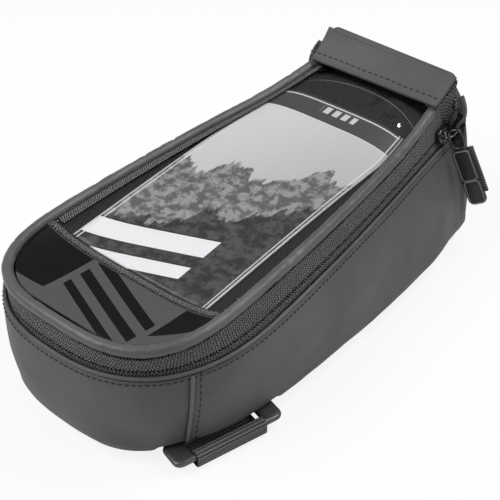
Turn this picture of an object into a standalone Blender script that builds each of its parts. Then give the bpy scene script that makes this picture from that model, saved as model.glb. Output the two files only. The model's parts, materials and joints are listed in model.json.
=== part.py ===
"""A top tube phone bag for a bicycle: padded fabric body, zipped lid with a phone pocket, straps.

Metres, +Z up. +Y points to the stem end, -Y to the rounded rider end, +X is the side of the zip slider.
The bag's own frame has its middle plane at X = 0. An empty then moves the whole bag so that the
middle of its footprint is the origin.
"""

import math

import bmesh
import bpy
from mathutils import Matrix, Vector

MM = 0.001

# Ridge, where the flap folds; what else is at the stem end has its place from it
RIDGE_Y = 103.6 * MM
RIDGE_Z = 77.0 * MM
RIDGE_HALF_WIDTH = 31.0 * MM
END_WALL_Y = RIDGE_Y + 1.6 * MM

# Lid outline, measured along the middle of its piping
LID_NOSE_Y = -95 * MM
LID_END_Y = RIDGE_Y - 5.6 * MM
LID_NOSE_LENGTH = 52 * MM
LID_NOSE_POWER = 3.2
LID_HALF_WIDTHS = (45.4 * MM, 42.3 * MM, 31.0 * MM)
LID_Z_NOSE = 53.5 * MM
LID_Z_END = 58.2 * MM
LID_KICK = 5.4 * MM
PIPING_RADIUS = 2.2 * MM

# Top edge of the walls, where the lower zip tape is sewn in
WALL_NOSE_Y = -100 * MM
WALL_END_Y = END_WALL_Y - 3.7 * MM
WALL_NOSE_LENGTH = 66 * MM
WALL_NOSE_POWER = 2.5
WALL_HALF_WIDTHS = (55.4 * MM, 50.9 * MM, 38.4 * MM)
WALL_Z_NOSE = 41.8 * MM
WALL_Z_END = 48.0 * MM
WALL_KICK = -2.4 * MM
WALL_THICKNESS = 3.0 * MM
WALL_BULGE = 1.2 * MM

# Widest line of the walls near the ground
FOOT_NOSE_Y = -99.2 * MM
FOOT_END_Y = END_WALL_Y - 10.2 * MM
HEM_END_Y = FOOT_END_Y - 7 * MM
FOOT_NOSE_LENGTH = 73 * MM
FOOT_NOSE_POWER = 3.07
FOOT_HALF_WIDTHS = (46.2 * MM, 56.5 * MM, 51.7 * MM)
FOOT_RADIUS = 10 * MM
HEM_INSET = 12 * MM

# Stem corner and flap
CORNER_REACH = RIDGE_HALF_WIDTH + 17 * MM
CORNER_Z = RIDGE_Z - 17 * MM
CORNER_BLEND = 0.25
FOOT_CORNER = 7.8 * MM
CORNER_TOP = 3.2 * MM
KICK_START = 0.75
FLAP_THICKNESS = 1.6 * MM
FLAP_EDGE_Y = RIDGE_Y - 11.4 * MM
FLAP_EDGE_Z = RIDGE_Z - 10.8 * MM
FLAP_SAG = 0.9 * MM
FLAP_SPREAD = 2.0 * MM

# Phone pocket: its sheets lie on one plane that climbs towards the stem
STITCH_LINE_Y = -57 * MM
POCKET_Z = 55.0 * MM
POCKET_RISE = 0.10
SHEET = 0.5 * MM
CARD_THICKNESS = 0.5 * MM
CARD_HALF_WIDTH = 34.2 * MM
CARD_END_Y = LID_END_Y - 26 * MM
BACKING_THICKNESS = 1.2 * MM
POCKET_MOUTH_Y = LID_END_Y - 18 * MM
POCKET_MOUTH_BOW = 9 * MM
BINDING_RADIUS = 0.6 * MM
FRONT_PANEL_THICKNESS = 1.2 * MM
FRONT_START_Y = LID_NOSE_Y + PIPING_RADIUS + 1.4 * MM
PIPING_STEPS = 64
EDGE_RISE_POWER = 4
FILM_TUCK = 2.2 * MM
CARD_START = 2 * MM
CARD_MARGIN = 0.8 * MM
MOUTH_OVERLAP = 6 * MM

# Zip
TAPE = 0.9 * MM
ZIP_SHARE = 0.70
ZIP_GAP = 0.5 * MM
COIL_RADIUS = 0.7 * MM
COIL_END = 0.98
TAPE_END = 1.7
TAPE_TUCK = 1.6 * MM
TAPE_STEPS = 76
COIL_STEPS = 60
STOP_AT = 1.62
STOP_SHIFT = 1.7 * MM
STOP_LIFT = 1.1 * MM
STOP_SIZE = (2.2 * MM, 2.4 * MM, 1.0 * MM)
SLIDER_Y = LID_END_Y - 6.5 * MM
SLIDER_LENGTH = 10.5 * MM
SLIDER_WIDTH = 6.8 * MM
SLIDER_SHIFT = 1.6 * MM
SLIDER_THICKNESS = 2.2 * MM
SLIDER_CORNER = 3 * MM
SLIDER_CLEARANCE = 1.1 * MM
SLIDER_TRAVEL = 60 * MM
BAIL_RADIUS = 0.65 * MM
BAIL_LENGTH = 8.0 * MM
BAIL_HEIGHT = 2.9 * MM
LINK_RADIUS = 0.6 * MM
LINK_LENGTH = 8.5 * MM
LINK_HALF_WIDTH = 2.9 * MM
LINK_CORNER = 2.2 * MM
PULL_DOWN = (0.45, 0.06, -0.89)
PULL_ACROSS = (0.95, 0.30, 0.0)
TAB_LENGTH = 26.5 * MM
TAB_WIDTH = 8.2 * MM
TAB_THICKNESS = 2.0 * MM
TAB_CORNER = 2.5 * MM
WEBBING_LENGTH = 22 * MM
WEBBING_WIDTH = 8.0 * MM
WEBBING_THICKNESS = 1.1 * MM
WEBBING_SHIFT = 1.5 * MM
WEBBING_CORNER = 1 * MM

# Rim, seams, bottom
RIM_RADIUS = 0.7 * MM
RIM_END = 1.84
RIM_STEPS = 84
SEAM_PLACE = 0.255
SEAM_RADIUS = 0.7 * MM
SEAM_STEPS = 12
PANEL_GAP = 0.4 * MM
SIDE_COLUMNS = 32
SIDE_SPREAD = 1.5
CLEARANCE = 0.3 * MM
BASE_THICKNESS = 1.4 * MM
STIFFENER_THICKNESS = 2.4 * MM
BASE_OVERLAP = 2.0 * MM
BASE_LIFT = 0.6 * MM
BASE_END = 1.9
STIFFENER_INSET = 2.5 * MM

# Straps and ring at the foot
STRAP_TURN = 16
STRAP_LINE_Y = -49.6 * MM
STRAP_WIDTH = 30 * MM
STRAP_THICKNESS = 0.9 * MM
STRAP_REACH = 71.2 * MM
STRAP_LEFT_END = -27 * MM
STRAP_STEP_BACK = 8 * MM
STRAP_BEND = 1.5 * MM
STRAP_LOW_BEND = 2.2 * MM
STRAP_STRAIGHT = 20 * MM
RING_LENGTH = 47 * MM
RING_WIDTH = 12.0 * MM
RING_BAR = 2.6 * MM
RING_CORNER = 3 * MM
TAB_TAIL = 16 * MM
CHANNEL_LEAD = 15 * MM
CHANNEL_ROOM = 0.2 * MM
CHANNEL_DEPTH = 1 * MM

# Heights of the strap's upper layer and of the ring, the radius of the webbing round its bars, and the room for it
STRAP_HIGH_Z = 1.5 * STRAP_THICKNESS + CLEARANCE
RING_Z = STRAP_HIGH_Z + 1.5 * STRAP_THICKNESS + 2 * CLEARANCE + RING_BAR / 2
RING_WRAP = RING_BAR / 2 + CLEARANCE + STRAP_THICKNESS / 2
RING_TOP = RING_Z + RING_WRAP + STRAP_THICKNESS / 2 + CLEARANCE

# Straps of the stem end
KEEPER_WIDTH = 34 * MM
KEEPER_HEIGHT = 26 * MM
KEEPER_Z = 44 * MM
STEM_STRAP_WIDTH = 20 * MM
STEM_STRAP_LENGTH = 52 * MM
STEM_STRAP_ABOVE = 0.4

# Share of the outline's places that lie on the nose, and the step that finds its direction
NOSE_SHARE = 0.42
PLACE_STEP = 0.004

LID_PIECES = (
    "lid_piping", "lid_front_panel", "clear_window", "display_card", "pocket_backing", "mouth_panel",
    "pocket_binding", "stem_flap", "upper_zip_tape", "upper_zip_coil",
)


def clear_scene():
    for item in list(bpy.data.objects):
        bpy.data.objects.remove(item, do_unlink=True)


def colour_material(name, colour, roughness, metallic=0.0):
    made = bpy.data.materials.new(name)
    made.use_nodes = True
    shader = made.node_tree.nodes["Principled BSDF"]
    shader.inputs["Base Color"].default_value = (*colour, 1)
    shader.inputs["Roughness"].default_value = roughness
    shader.inputs["Metallic"].default_value = metallic
    return made


def middle_curve(values, share):
    """Value at a share of the length, on the parabola through values at the start, middle and end."""
    start, middle, end = values
    return (
        start * (1 - share) * (1 - 2 * share)
        + middle * 4 * share * (1 - share)
        + end * share * (2 * share - 1)
    )


class Outline:
    """One level of the bag in plan: a rounded nose, sides, and a turn round the stem corner."""

    def __init__(self, nose_y, end_y, nose_length, power, widths, heights, turn):
        """heights are those at the nose and the end, and how far the last quarter kicks up."""
        self.nose_y = nose_y
        self.end_y = end_y
        self.nose_length = nose_length
        self.power = power
        self.widths = widths
        self.heights = heights
        self.turn = turn

    def on_side(self, y):
        share = (y - self.nose_y) / (self.end_y - self.nose_y)
        start, end, kick = self.heights
        late = max(0.0, (share - KICK_START) / (1 - KICK_START))
        height = start + (end - start) * share + kick * late**2
        return middle_curve(self.widths, share), height

    def at(self, place):
        """Point for a place from 0 at the nose to 1 at the end of the side, then to 2 round the corner."""
        side = -1 if place < 0 else 1
        place = abs(place)
        rounding = 1.0
        if place <= NOSE_SHARE:
            angle = place / NOSE_SHARE * math.pi / 2
            rounding = math.sin(angle) ** (2 / self.power)
            y = self.nose_y + self.nose_length * (1 - math.cos(angle) ** (2 / self.power))
        else:
            straight = self.end_y - self.nose_y - self.nose_length
            y = self.nose_y + self.nose_length + straight * min(1, (place - NOSE_SHARE) / (1 - NOSE_SHARE))
        width, z = self.on_side(y)
        point = Vector((width * rounding, y, z))
        if place > 1:
            step = place - 1
            control, last = self.turn
            point = point * (1 - step) ** 2 + control * 2 * step * (1 - step) + last * step**2
        return Vector((side * point.x, point.y, point.z))

    def inward(self, place):
        """Unit vector in plan that points from the outline to its inside."""
        along = self.at(min(2, place + PLACE_STEP)) - self.at(max(-2, place - PLACE_STEP))
        return Vector((-along.y, along.x, 0)).normalized()


WALL_TOP = Outline(
    WALL_NOSE_Y, WALL_END_Y, WALL_NOSE_LENGTH, WALL_NOSE_POWER, WALL_HALF_WIDTHS,
    (WALL_Z_NOSE, WALL_Z_END, WALL_KICK),
    (
        Vector((CORNER_REACH, END_WALL_Y, CORNER_Z)),
        Vector((RIDGE_HALF_WIDTH, END_WALL_Y, RIDGE_Z - CORNER_TOP)),
    ),
)
FOOT_END_X = FOOT_HALF_WIDTHS[2]
FOOT_LAST_X = FOOT_END_X - 1.6 * FOOT_CORNER
FOOT = Outline(
    FOOT_NOSE_Y, FOOT_END_Y, FOOT_NOSE_LENGTH, FOOT_NOSE_POWER, FOOT_HALF_WIDTHS,
    (FOOT_RADIUS, FOOT_RADIUS, 0.0),
    (Vector((FOOT_END_X, END_WALL_Y, FOOT_RADIUS)), Vector((FOOT_LAST_X, END_WALL_Y, FOOT_RADIUS))),
)
HEM_HALF_WIDTHS = tuple(width - HEM_INSET for width in FOOT_HALF_WIDTHS)
HEM = Outline(
    FOOT_NOSE_Y + HEM_INSET, HEM_END_Y, FOOT_NOSE_LENGTH - HEM_INSET, FOOT_NOSE_POWER, HEM_HALF_WIDTHS,
    (0.0, 0.0, 0.0),
    (
        Vector((HEM_HALF_WIDTHS[2], END_WALL_Y - HEM_INSET, 0)),
        Vector((FOOT_LAST_X - HEM_INSET / 3, END_WALL_Y - HEM_INSET, 0)),
    ),
)
LID_TURN = (
    Vector((RIDGE_HALF_WIDTH + 1.6 * MM, RIDGE_Y - 4 * MM, RIDGE_Z - 9 * MM)),
    Vector((RIDGE_HALF_WIDTH - 1.8 * MM, RIDGE_Y - 3.8 * MM, RIDGE_Z - 3.0 * MM)),
)
LID = Outline(
    LID_NOSE_Y, LID_END_Y, LID_NOSE_LENGTH, LID_NOSE_POWER, LID_HALF_WIDTHS,
    (LID_Z_NOSE, LID_Z_END, LID_KICK), LID_TURN,
)


def wall_point(place, down):
    """Outer face of the wall: 0 at its top edge, 1 at the widest line, 2 at the hem under the bag."""
    foot = FOOT.at(place)
    if down <= 1:
        bulge = WALL_BULGE * math.sin(math.pi * down)
        return WALL_TOP.at(place).lerp(foot, down) - FOOT.inward(place) * bulge
    angle = (down - 1) * math.pi / 2
    flat = foot.lerp(HEM.at(place), 1 - math.cos(angle))
    return Vector((flat.x, flat.y, FOOT_RADIUS * (1 - math.sin(angle))))


def edge_up(place):
    """Unit vector that leaves the walls' top edge squarely, in the plane of the wall."""
    along = (WALL_TOP.at(min(2, place + PLACE_STEP)) - WALL_TOP.at(max(-2, place - PLACE_STEP))).normalized()
    up = Vector((0, 0, 1))
    return (up - along * up.dot(along)).normalized()


def link(name, data, slot):
    made = bpy.data.objects.new(name, data)
    PARTS.objects.link(made)
    data.materials.append(SLOTS[slot])
    made.parent = ROOT
    return made


def pivot(name, place):
    """An empty on a joint's axis, for the pieces that turn about it."""
    made = bpy.data.objects.new(name, None)
    bpy.context.scene.collection.objects.link(made)
    made.parent = ROOT
    made.matrix_local = place
    return made


def grid_object(name, slot, columns, rows, place, thickness, offset=0.0):
    """A sheet laid on place(u, v), with u and v from 0 to 1, and given its thickness by Solidify."""
    shape = bmesh.new()
    bmesh.ops.create_grid(shape, x_segments=columns, y_segments=rows, size=0.5)
    for corner in shape.verts:
        corner.co = place(corner.co.x + 0.5, corner.co.y + 0.5)
    mesh = bpy.data.meshes.new(name)
    shape.to_mesh(mesh)
    shape.free()
    made = link(name, mesh, slot)
    if thickness:
        solid = made.modifiers.new("thickness", "SOLIDIFY")
        solid.thickness = thickness
        solid.offset = offset
        solid.use_even_offset = True
    return made


def tube_object(name, slot, points, radius, closed=False, resolution=2):
    curve = bpy.data.curves.new(name, "CURVE")
    curve.dimensions = "3D"
    curve.bevel_depth = radius
    curve.bevel_resolution = resolution
    curve.use_fill_caps = not closed
    spline = curve.splines.new("POLY")
    spline.points.add(len(points) - 1)
    for point, place in zip(spline.points, points):
        point.co = (*place, 1)
    spline.use_cyclic_u = closed
    return link(name, curve, slot)


def flat_plate(name, slot, outline, thickness):
    """A plate in the local XY plane, with the outline that the list of points gives."""
    curve = bpy.data.curves.new(name, "CURVE")
    curve.dimensions = "2D"
    curve.fill_mode = "BOTH"
    curve.extrude = thickness / 2
    spline = curve.splines.new("POLY")
    spline.points.add(len(outline) - 1)
    for point, place in zip(spline.points, outline):
        point.co = (place.x, place.y, 0, 1)
    spline.use_cyclic_u = True
    return link(name, curve, slot)


def rounded_corners(half_length, half_width, radius, steps=4):
    points = []
    for quarter in range(4):
        sign_x = (1, -1, -1, 1)[quarter]
        sign_y = (1, 1, -1, -1)[quarter]
        middle = Vector((sign_x * (half_length - radius), sign_y * (half_width - radius)))
        for step in range(steps + 1):
            angle = math.pi / 2 * (quarter + step / steps)
            points.append(middle + radius * Vector((math.cos(angle), math.sin(angle))))
    return points


def strip_along(path, width_direction, half_width):
    """place(u, v) for a strip that follows a list of points and is as wide as asked."""

    def place(u, v):
        return path[round(u * (len(path) - 1))] + width_direction * half_width * (2 * v - 1)

    return place


def arc_points(centre, across, up, radius, start, end, steps):
    points = []
    for step in range(steps + 1):
        angle = math.radians(start + (end - start) * step / steps)
        points.append(centre + across * radius * math.cos(angle) + up * radius * math.sin(angle))
    return points


def make_walls():
    half_gap = PANEL_GAP / 2 / (WALL_END_Y - WALL_NOSE_Y)
    seam = SEAM_PLACE

    def nose(u, v):
        return wall_point((2 * u - 1) * (seam - half_gap), 2 * v)

    grid_object("nose_panel", "wall", 24, 10, nose, WALL_THICKNESS, 1.0)
    start = seam + half_gap

    def right(u, v):
        return wall_point(start + (2.0 - start) * u**SIDE_SPREAD, 2 * v)

    def left(u, v):
        place = right(1 - u, v)
        return Vector((-place.x, place.y, place.z))

    grid_object("side_panel_right", "wall", SIDE_COLUMNS, 10, right, WALL_THICKNESS, 1.0)
    grid_object("side_panel_left", "wall", SIDE_COLUMNS, 10, left, WALL_THICKNESS, 1.0)
    clear = 2 * PANEL_GAP

    def end(u, v):
        edge = wall_point(2.0, 2 * v)
        return Vector(((edge.x - clear) * (1 - 2 * u), edge.y, edge.z))

    grid_object("end_panel", "wall", 6, 10, end, WALL_THICKNESS, 1.0)
    for sign, side in ((1, "right"), (-1, "left")):
        points = []
        for step in range(SEAM_STEPS + 1):
            down = 2 * step / SEAM_STEPS
            place = wall_point(seam, down)
            outward = -FOOT.inward(seam) * (SEAM_RADIUS + CLEARANCE)
            if down > 1:
                angle = (down - 1) * math.pi / 2
                outward = outward * math.cos(angle) - Vector((0, 0, 1)) * outward.length * math.sin(angle)
            if place.z + outward.z < RING_TOP + SEAM_RADIUS:
                break
            place = place + outward
            points.append(Vector((sign * place.x, place.y, place.z)))
        tube_object("seam_piping_" + side, "rim", points, SEAM_RADIUS)


def make_bottom():
    base_bottom = WALL_THICKNESS + BASE_LIFT
    base_share = 1 - BASE_OVERLAP / HEM_INSET
    flat_slab("base_panel", "base", base_share, base_bottom, BASE_THICKNESS)
    stiffener_share = base_share + STIFFENER_INSET / HEM_INSET
    above = base_bottom + BASE_THICKNESS + CLEARANCE
    flat_slab("base_stiffener", "board", stiffener_share, above, STIFFENER_THICKNESS)


def flat_slab(name, slot, share, bottom, thickness, count=30):
    """A flat board whose outline lies at a share of the way from the foot line to the hem."""
    places = [BASE_END * (step / count - 1) for step in range(2 * count + 1)]
    outline = [FOOT.at(at).lerp(HEM.at(at), share) for at in places]
    made = flat_plate(name, slot, outline, thickness)
    made.location.z = bottom + thickness / 2


def corner_share(place):
    """0 along the sides and the nose, and 1 where the outline climbs the stem corner."""
    return min(1.0, max(0.0, (abs(place) - 1) / CORNER_BLEND))


def band_points(place):
    """Inner edge, zip line and outer edge of the zip band at one place along the outline."""
    piping = LID.at(place)
    wall = WALL_TOP.at(place)
    across = wall - piping
    inner = piping + across.normalized() * (PIPING_RADIUS + CLEARANCE + TAPE / 2)
    tuck = 2 * RIM_RADIUS + 3 * CLEARANCE + TAPE_TUCK * corner_share(place)
    outer = wall + FOOT.inward(place) * tuck + edge_up(place) * (CLEARANCE + TAPE / 2)
    middle = inner.lerp(outer, ZIP_SHARE)
    return inner, middle, outer


def band_strip(first, last, start, end, places):
    """Sheet between two shares of the band, from one place on the outline to another."""

    def place(u, v):
        at = places[0] + (places[1] - places[0]) * u
        inner, middle, outer = band_points(at)
        edge = {"inner": inner, "middle": middle, "outer": outer}
        low, high = edge[first], edge[last]
        span = (high - low).normalized()
        low = low + span * start
        high = high - span * end
        return low.lerp(high, v)

    return place


def make_zip():
    upper = band_strip("inner", "middle", 0.0, ZIP_GAP / 2, (-TAPE_END, TAPE_END))
    lower = band_strip("middle", "outer", ZIP_GAP / 2, 0.0, (-TAPE_END, TAPE_END))
    grid_object("upper_zip_tape", "tape", TAPE_STEPS, 1, upper, TAPE)
    grid_object("lower_zip_tape", "tape", TAPE_STEPS, 1, lower, TAPE)
    sides = (("upper_zip_coil", -1), ("lower_zip_coil", 1))
    for name, direction in sides:
        points = []
        for step in range(COIL_STEPS + 1):
            at = COIL_END * (2 * step / COIL_STEPS - 1)
            inner, middle, outer = band_points(at)
            span = (outer - inner).normalized()
            along = band_points(at + PLACE_STEP)[1] - band_points(at - PLACE_STEP)[1]
            below = -span.cross(along).normalized()
            sideways = span * direction * (COIL_RADIUS + ZIP_GAP)
            points.append(middle + sideways + below * (COIL_RADIUS + CLEARANCE + TAPE / 2))
        tube_object(name, "coil", points, COIL_RADIUS, resolution=1)


def make_rim():
    points = []
    for step in range(RIM_STEPS + 1):
        at = RIM_END * (2 * step / RIM_STEPS - 1)
        lift = edge_up(at) * (RIM_RADIUS + CLEARANCE * (1 + 2 * corner_share(at)))
        points.append(wall_point(at, 0.0) + FOOT.inward(at) * RIM_RADIUS + lift)
    tube_object("rim_binding", "rim", points, RIM_RADIUS)


def make_lid():
    points = [LID.at(2 * step / PIPING_STEPS - 1) for step in range(PIPING_STEPS + 1)]
    tube_object("lid_piping", "piping", points, PIPING_RADIUS)

    def front(u, v):
        y = FRONT_START_Y + (STITCH_LINE_Y - CLEARANCE / 2 - FRONT_START_Y) * v
        return front_surface(2 * u - 1, y)

    grid_object("lid_front_panel", "lid_fabric", 12, 8, front, FRONT_PANEL_THICKNESS)
    pocket_start = STITCH_LINE_Y + CLEARANCE / 2

    def layer(first_y, last_y, drop, narrower=0.0, bow=0.0, widest=1.0):
        def place(u, v):
            across = 2 * u - 1
            y = first_y + (last_y - first_y) * v
            half = min(widest, inside_width(y) - narrower)
            y = y + bow * (1 - across * across) * v
            point = pocket_surface(across * half / inside_width(y), y)
            return Vector((across * half, y, point.z - drop))

        return place

    film = layer(pocket_start, FLAP_EDGE_Y + FILM_TUCK, 0.0)
    grid_object("clear_window", "clear_film", 12, 18, film, SHEET)
    card_drop = SHEET / 2 + CLEARANCE + CARD_THICKNESS / 2
    card = layer(STITCH_LINE_Y + CARD_START, CARD_END_Y, card_drop, CARD_MARGIN, 0.0, CARD_HALF_WIDTH)
    grid_object("display_card", "card", 8, 14, card, CARD_THICKNESS)
    backing_drop = card_drop + CARD_THICKNESS / 2 + 2 * CLEARANCE + BACKING_THICKNESS / 2
    backing = layer(pocket_start, POCKET_MOUTH_Y, backing_drop, 0.0, POCKET_MOUTH_BOW)
    grid_object("pocket_backing", "mesh", 12, 12, backing, BACKING_THICKNESS)
    mouth_drop = backing_drop + BACKING_THICKNESS + CLEARANCE
    mouth = layer(POCKET_MOUTH_Y - MOUTH_OVERLAP, FLAP_EDGE_Y + FILM_TUCK, mouth_drop)
    grid_object("mouth_panel", "mesh", 12, 4, mouth, BACKING_THICKNESS)
    beyond = Vector((0, CLEARANCE + BINDING_RADIUS, 0))
    edge = [backing(step / 16, 1.0) + beyond for step in range(1, 16)]
    tube_object("pocket_binding", "rim", edge, BINDING_RADIUS)


def inside_width(y):
    """Half-width between the inner sides of the lid's piping."""
    inset = PIPING_RADIUS + CLEARANCE
    start = LID_NOSE_Y + inset
    length = LID_NOSE_LENGTH - inset / 2
    share = min(1.0, max(0.0, (y - start) / length))
    rounding = (1 - (1 - share) ** LID_NOSE_POWER) ** (1 / LID_NOSE_POWER)
    return (LID.on_side(y)[0] - inset) * rounding


def pocket_surface(across, y):
    """Middle of the window film: on the pocket's plane, and level with the piping at its edges."""
    plane = POCKET_Z + POCKET_RISE * y
    blend = abs(across) ** EDGE_RISE_POWER
    return Vector((across * inside_width(y), y, plane * (1 - blend) + LID.on_side(y)[1] * blend))


def front_surface(across, y):
    """Middle of the front panel: level with the piping at the nose, and with the pocket at the stitch line."""
    share = (y - FRONT_START_Y) / (STITCH_LINE_Y - FRONT_START_Y)
    piping_z = LID.on_side(y)[1]
    plane = piping_z * (1 - share) + (POCKET_Z + POCKET_RISE * y) * share
    blend = abs(across) ** EDGE_RISE_POWER
    return Vector((across * inside_width(y), y, plane * (1 - blend) + piping_z * blend))


def make_flap():
    def place(u, v):
        half = RIDGE_HALF_WIDTH - 2 * CLEARANCE + FLAP_SPREAD * v
        y = RIDGE_Y + (FLAP_EDGE_Y - RIDGE_Y) * v
        z = RIDGE_Z + (FLAP_EDGE_Z - RIDGE_Z) * v - FLAP_SAG * math.sin(math.pi * v)
        return Vector(((2 * u - 1) * half, y, z))

    grid_object("stem_flap", "wall", 8, 6, place, FLAP_THICKNESS, 0.0)


def make_straps():
    turn = math.radians(-STRAP_TURN)
    across = Vector((math.cos(turn), math.sin(turn), 0))
    along = Vector((-math.sin(turn), math.cos(turn), 0))
    up = Vector((0, 0, 1))
    centre = Vector((0, STRAP_LINE_Y, 0))
    line = centre.dot(along)
    half_layer = STRAP_THICKNESS / 2
    low_z = half_layer
    high_z = STRAP_HIGH_Z
    wrap = RING_WRAP
    bar_z = RING_Z
    outer_bar = STRAP_REACH - half_layer - wrap
    inner_bar = outer_bar - RING_WIDTH + RING_BAR

    def spot(reach, z):
        return across * reach + along * line + up * z

    bar = spot(outer_bar, bar_z)
    slot_line = outer_bar - wrap
    path = [spot(STRAP_LEFT_END, high_z), spot(0, high_z), spot(slot_line - 2 * STRAP_BEND, high_z)]
    bend = spot(slot_line - STRAP_BEND, high_z + STRAP_BEND)
    path += arc_points(bend, across, up, STRAP_BEND, -90, 0, 3)
    path += arc_points(bar, across, up, wrap, 180, 0, 8)
    bend = spot(outer_bar + wrap - STRAP_LOW_BEND, low_z + STRAP_LOW_BEND)
    path += arc_points(bend, across, up, STRAP_LOW_BEND, 0, -90, 4)
    path += [spot(STRAP_STRAIGHT, low_z), spot(STRAP_LEFT_END + STRAP_STEP_BACK, low_z)]
    place = strip_along(path, along, STRAP_WIDTH / 2)
    grid_object("base_strap", "webbing", len(path) - 1, 1, place, STRAP_THICKNESS, 0.0)

    outline = rounded_corners((RING_WIDTH - RING_BAR) / 2, (RING_LENGTH - RING_BAR) / 2, RING_CORNER)
    ring = tube_object("strap_ring", "ring", [(*place, 0) for place in outline], RING_BAR / 2, closed=True)
    ring.matrix_local = Matrix.Translation(spot((outer_bar + inner_bar) / 2, bar_z)) @ Matrix.Rotation(turn, 4, "Z")

    inner = spot(inner_bar, bar_z)
    tail_z = bar_z - wrap
    tab = [spot(inner_bar - TAB_TAIL, tail_z), spot(inner_bar - TAB_TAIL / 2, tail_z)]
    tab += arc_points(inner, across, up, wrap, -90, 180, 12)
    tab += [spot(inner_bar - wrap, tail_z + STRAP_THICKNESS + CLEARANCE)]
    place = strip_along(tab, along, STRAP_WIDTH / 2)
    grid_object("ring_tab", "webbing", len(tab) - 1, 1, place, STRAP_THICKNESS, 0.0)
    strap_top = WALL_THICKNESS + CLEARANCE + CHANNEL_ROOM
    boxes = (
        ("strap_channel", STRAP_LEFT_END - CHANNEL_LEAD, STRAP_WIDTH, strap_top),
        ("ring_channel", inner_bar - RING_BAR, RING_LENGTH, RING_TOP),
    )
    cut_strap_channels(boxes, spot, turn)


def cut_strap_channels(boxes, spot, turn):
    """Makes room in the walls' hem where the straps and the ring pass under it."""
    for name, first, width, height in boxes:
        shape = bmesh.new()
        bmesh.ops.create_cube(shape, size=1)
        mesh = bpy.data.meshes.new(name)
        shape.to_mesh(mesh)
        shape.free()
        cutter = bpy.data.objects.new(name, mesh)
        CUTTERS.objects.link(cutter)
        cutter.hide_render = True
        cutter.display_type = "WIRE"
        cutter.parent = ROOT
        middle = spot((first + STRAP_REACH) / 2, (height - CHANNEL_DEPTH) / 2)
        size = (STRAP_REACH - first, width + 2 * CLEARANCE, height + CHANNEL_DEPTH)
        cutter.matrix_local = Matrix.Translation(middle) @ Matrix.Rotation(turn, 4, "Z") @ Matrix.Diagonal((*size, 1))
        for wall in ("nose_panel", "side_panel_right", "side_panel_left"):
            cut = bpy.data.objects[wall].modifiers.new(name, "BOOLEAN")
            cut.operation = "DIFFERENCE"
            cut.solver = "EXACT"
            cut.object = cutter


def make_stem_straps():
    outer = END_WALL_Y + WALL_BULGE + CLEARANCE
    half = STRAP_THICKNESS / 2
    keeper_y = outer + half
    bow = STRAP_THICKNESS + 2 * CLEARANCE

    def keeper(u, v):
        away = bow * min(1.0, 4.0 * min(u, 1 - u))
        return Vector(((1 - 2 * u) * KEEPER_WIDTH / 2, keeper_y + away, KEEPER_Z + (v - 0.5) * KEEPER_HEIGHT))

    grid_object("stem_keeper", "webbing", 8, 2, keeper, STRAP_THICKNESS, 0.0)

    def strap(u, v):
        z = KEEPER_Z + STEM_STRAP_LENGTH * (STEM_STRAP_ABOVE - u)
        return Vector(((2 * v - 1) * STEM_STRAP_WIDTH / 2, outer + half, z))

    grid_object("stem_strap", "webbing", 6, 1, strap, STRAP_THICKNESS, 0.0)


def zip_place(y):
    """Band points on the right side at a given distance along the bag."""
    straight = LID_END_Y - LID_NOSE_Y - LID_NOSE_LENGTH
    place = NOSE_SHARE + (1 - NOSE_SHARE) * (y - LID_NOSE_Y - LID_NOSE_LENGTH) / straight
    return band_points(place)


def make_slider():
    """Slider, bail and pull. The slider slides along its own local Y."""
    here = zip_place(SLIDER_Y)
    ahead = zip_place(SLIDER_Y - SLIDER_TRAVEL)
    along = (here[1] - ahead[1]).normalized()
    across = (here[2] - here[0]).normalized()
    outward = along.cross(across).normalized()
    if outward.z < 0:
        outward = -outward
    across = along.cross(outward).normalized()
    frame = Matrix((across, along, outward)).transposed().to_4x4()
    towards_lid = (here[0] - here[1]).normalized() * SLIDER_SHIFT
    base = here[1] + towards_lid + outward * (SLIDER_CLEARANCE + TAPE / 2)
    frame = Matrix.Translation(base) @ frame
    outline = rounded_corners(SLIDER_WIDTH / 2, SLIDER_LENGTH / 2, SLIDER_CORNER)
    body = flat_plate("slider_body", "slider", outline, SLIDER_THICKNESS)
    body.matrix_local = frame @ Matrix.Translation((0, 0, SLIDER_THICKNESS / 2))
    top = SLIDER_THICKNESS + CLEARANCE + BAIL_RADIUS
    half = BAIL_LENGTH / 2
    bail = [Vector((0, -half, top)), Vector((0, -half, top + BAIL_HEIGHT * 0.6))]
    bail += [Vector((0, -half * 0.7, top + BAIL_HEIGHT)), Vector((0, half * 0.7, top + BAIL_HEIGHT))]
    bail += [Vector((0, half, top + BAIL_HEIGHT * 0.6)), Vector((0, half, top))]
    made = tube_object("slider_bail", "slider", bail, BAIL_RADIUS)
    made.matrix_local = frame
    return frame, Vector((0, 0, top + BAIL_HEIGHT))


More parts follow.
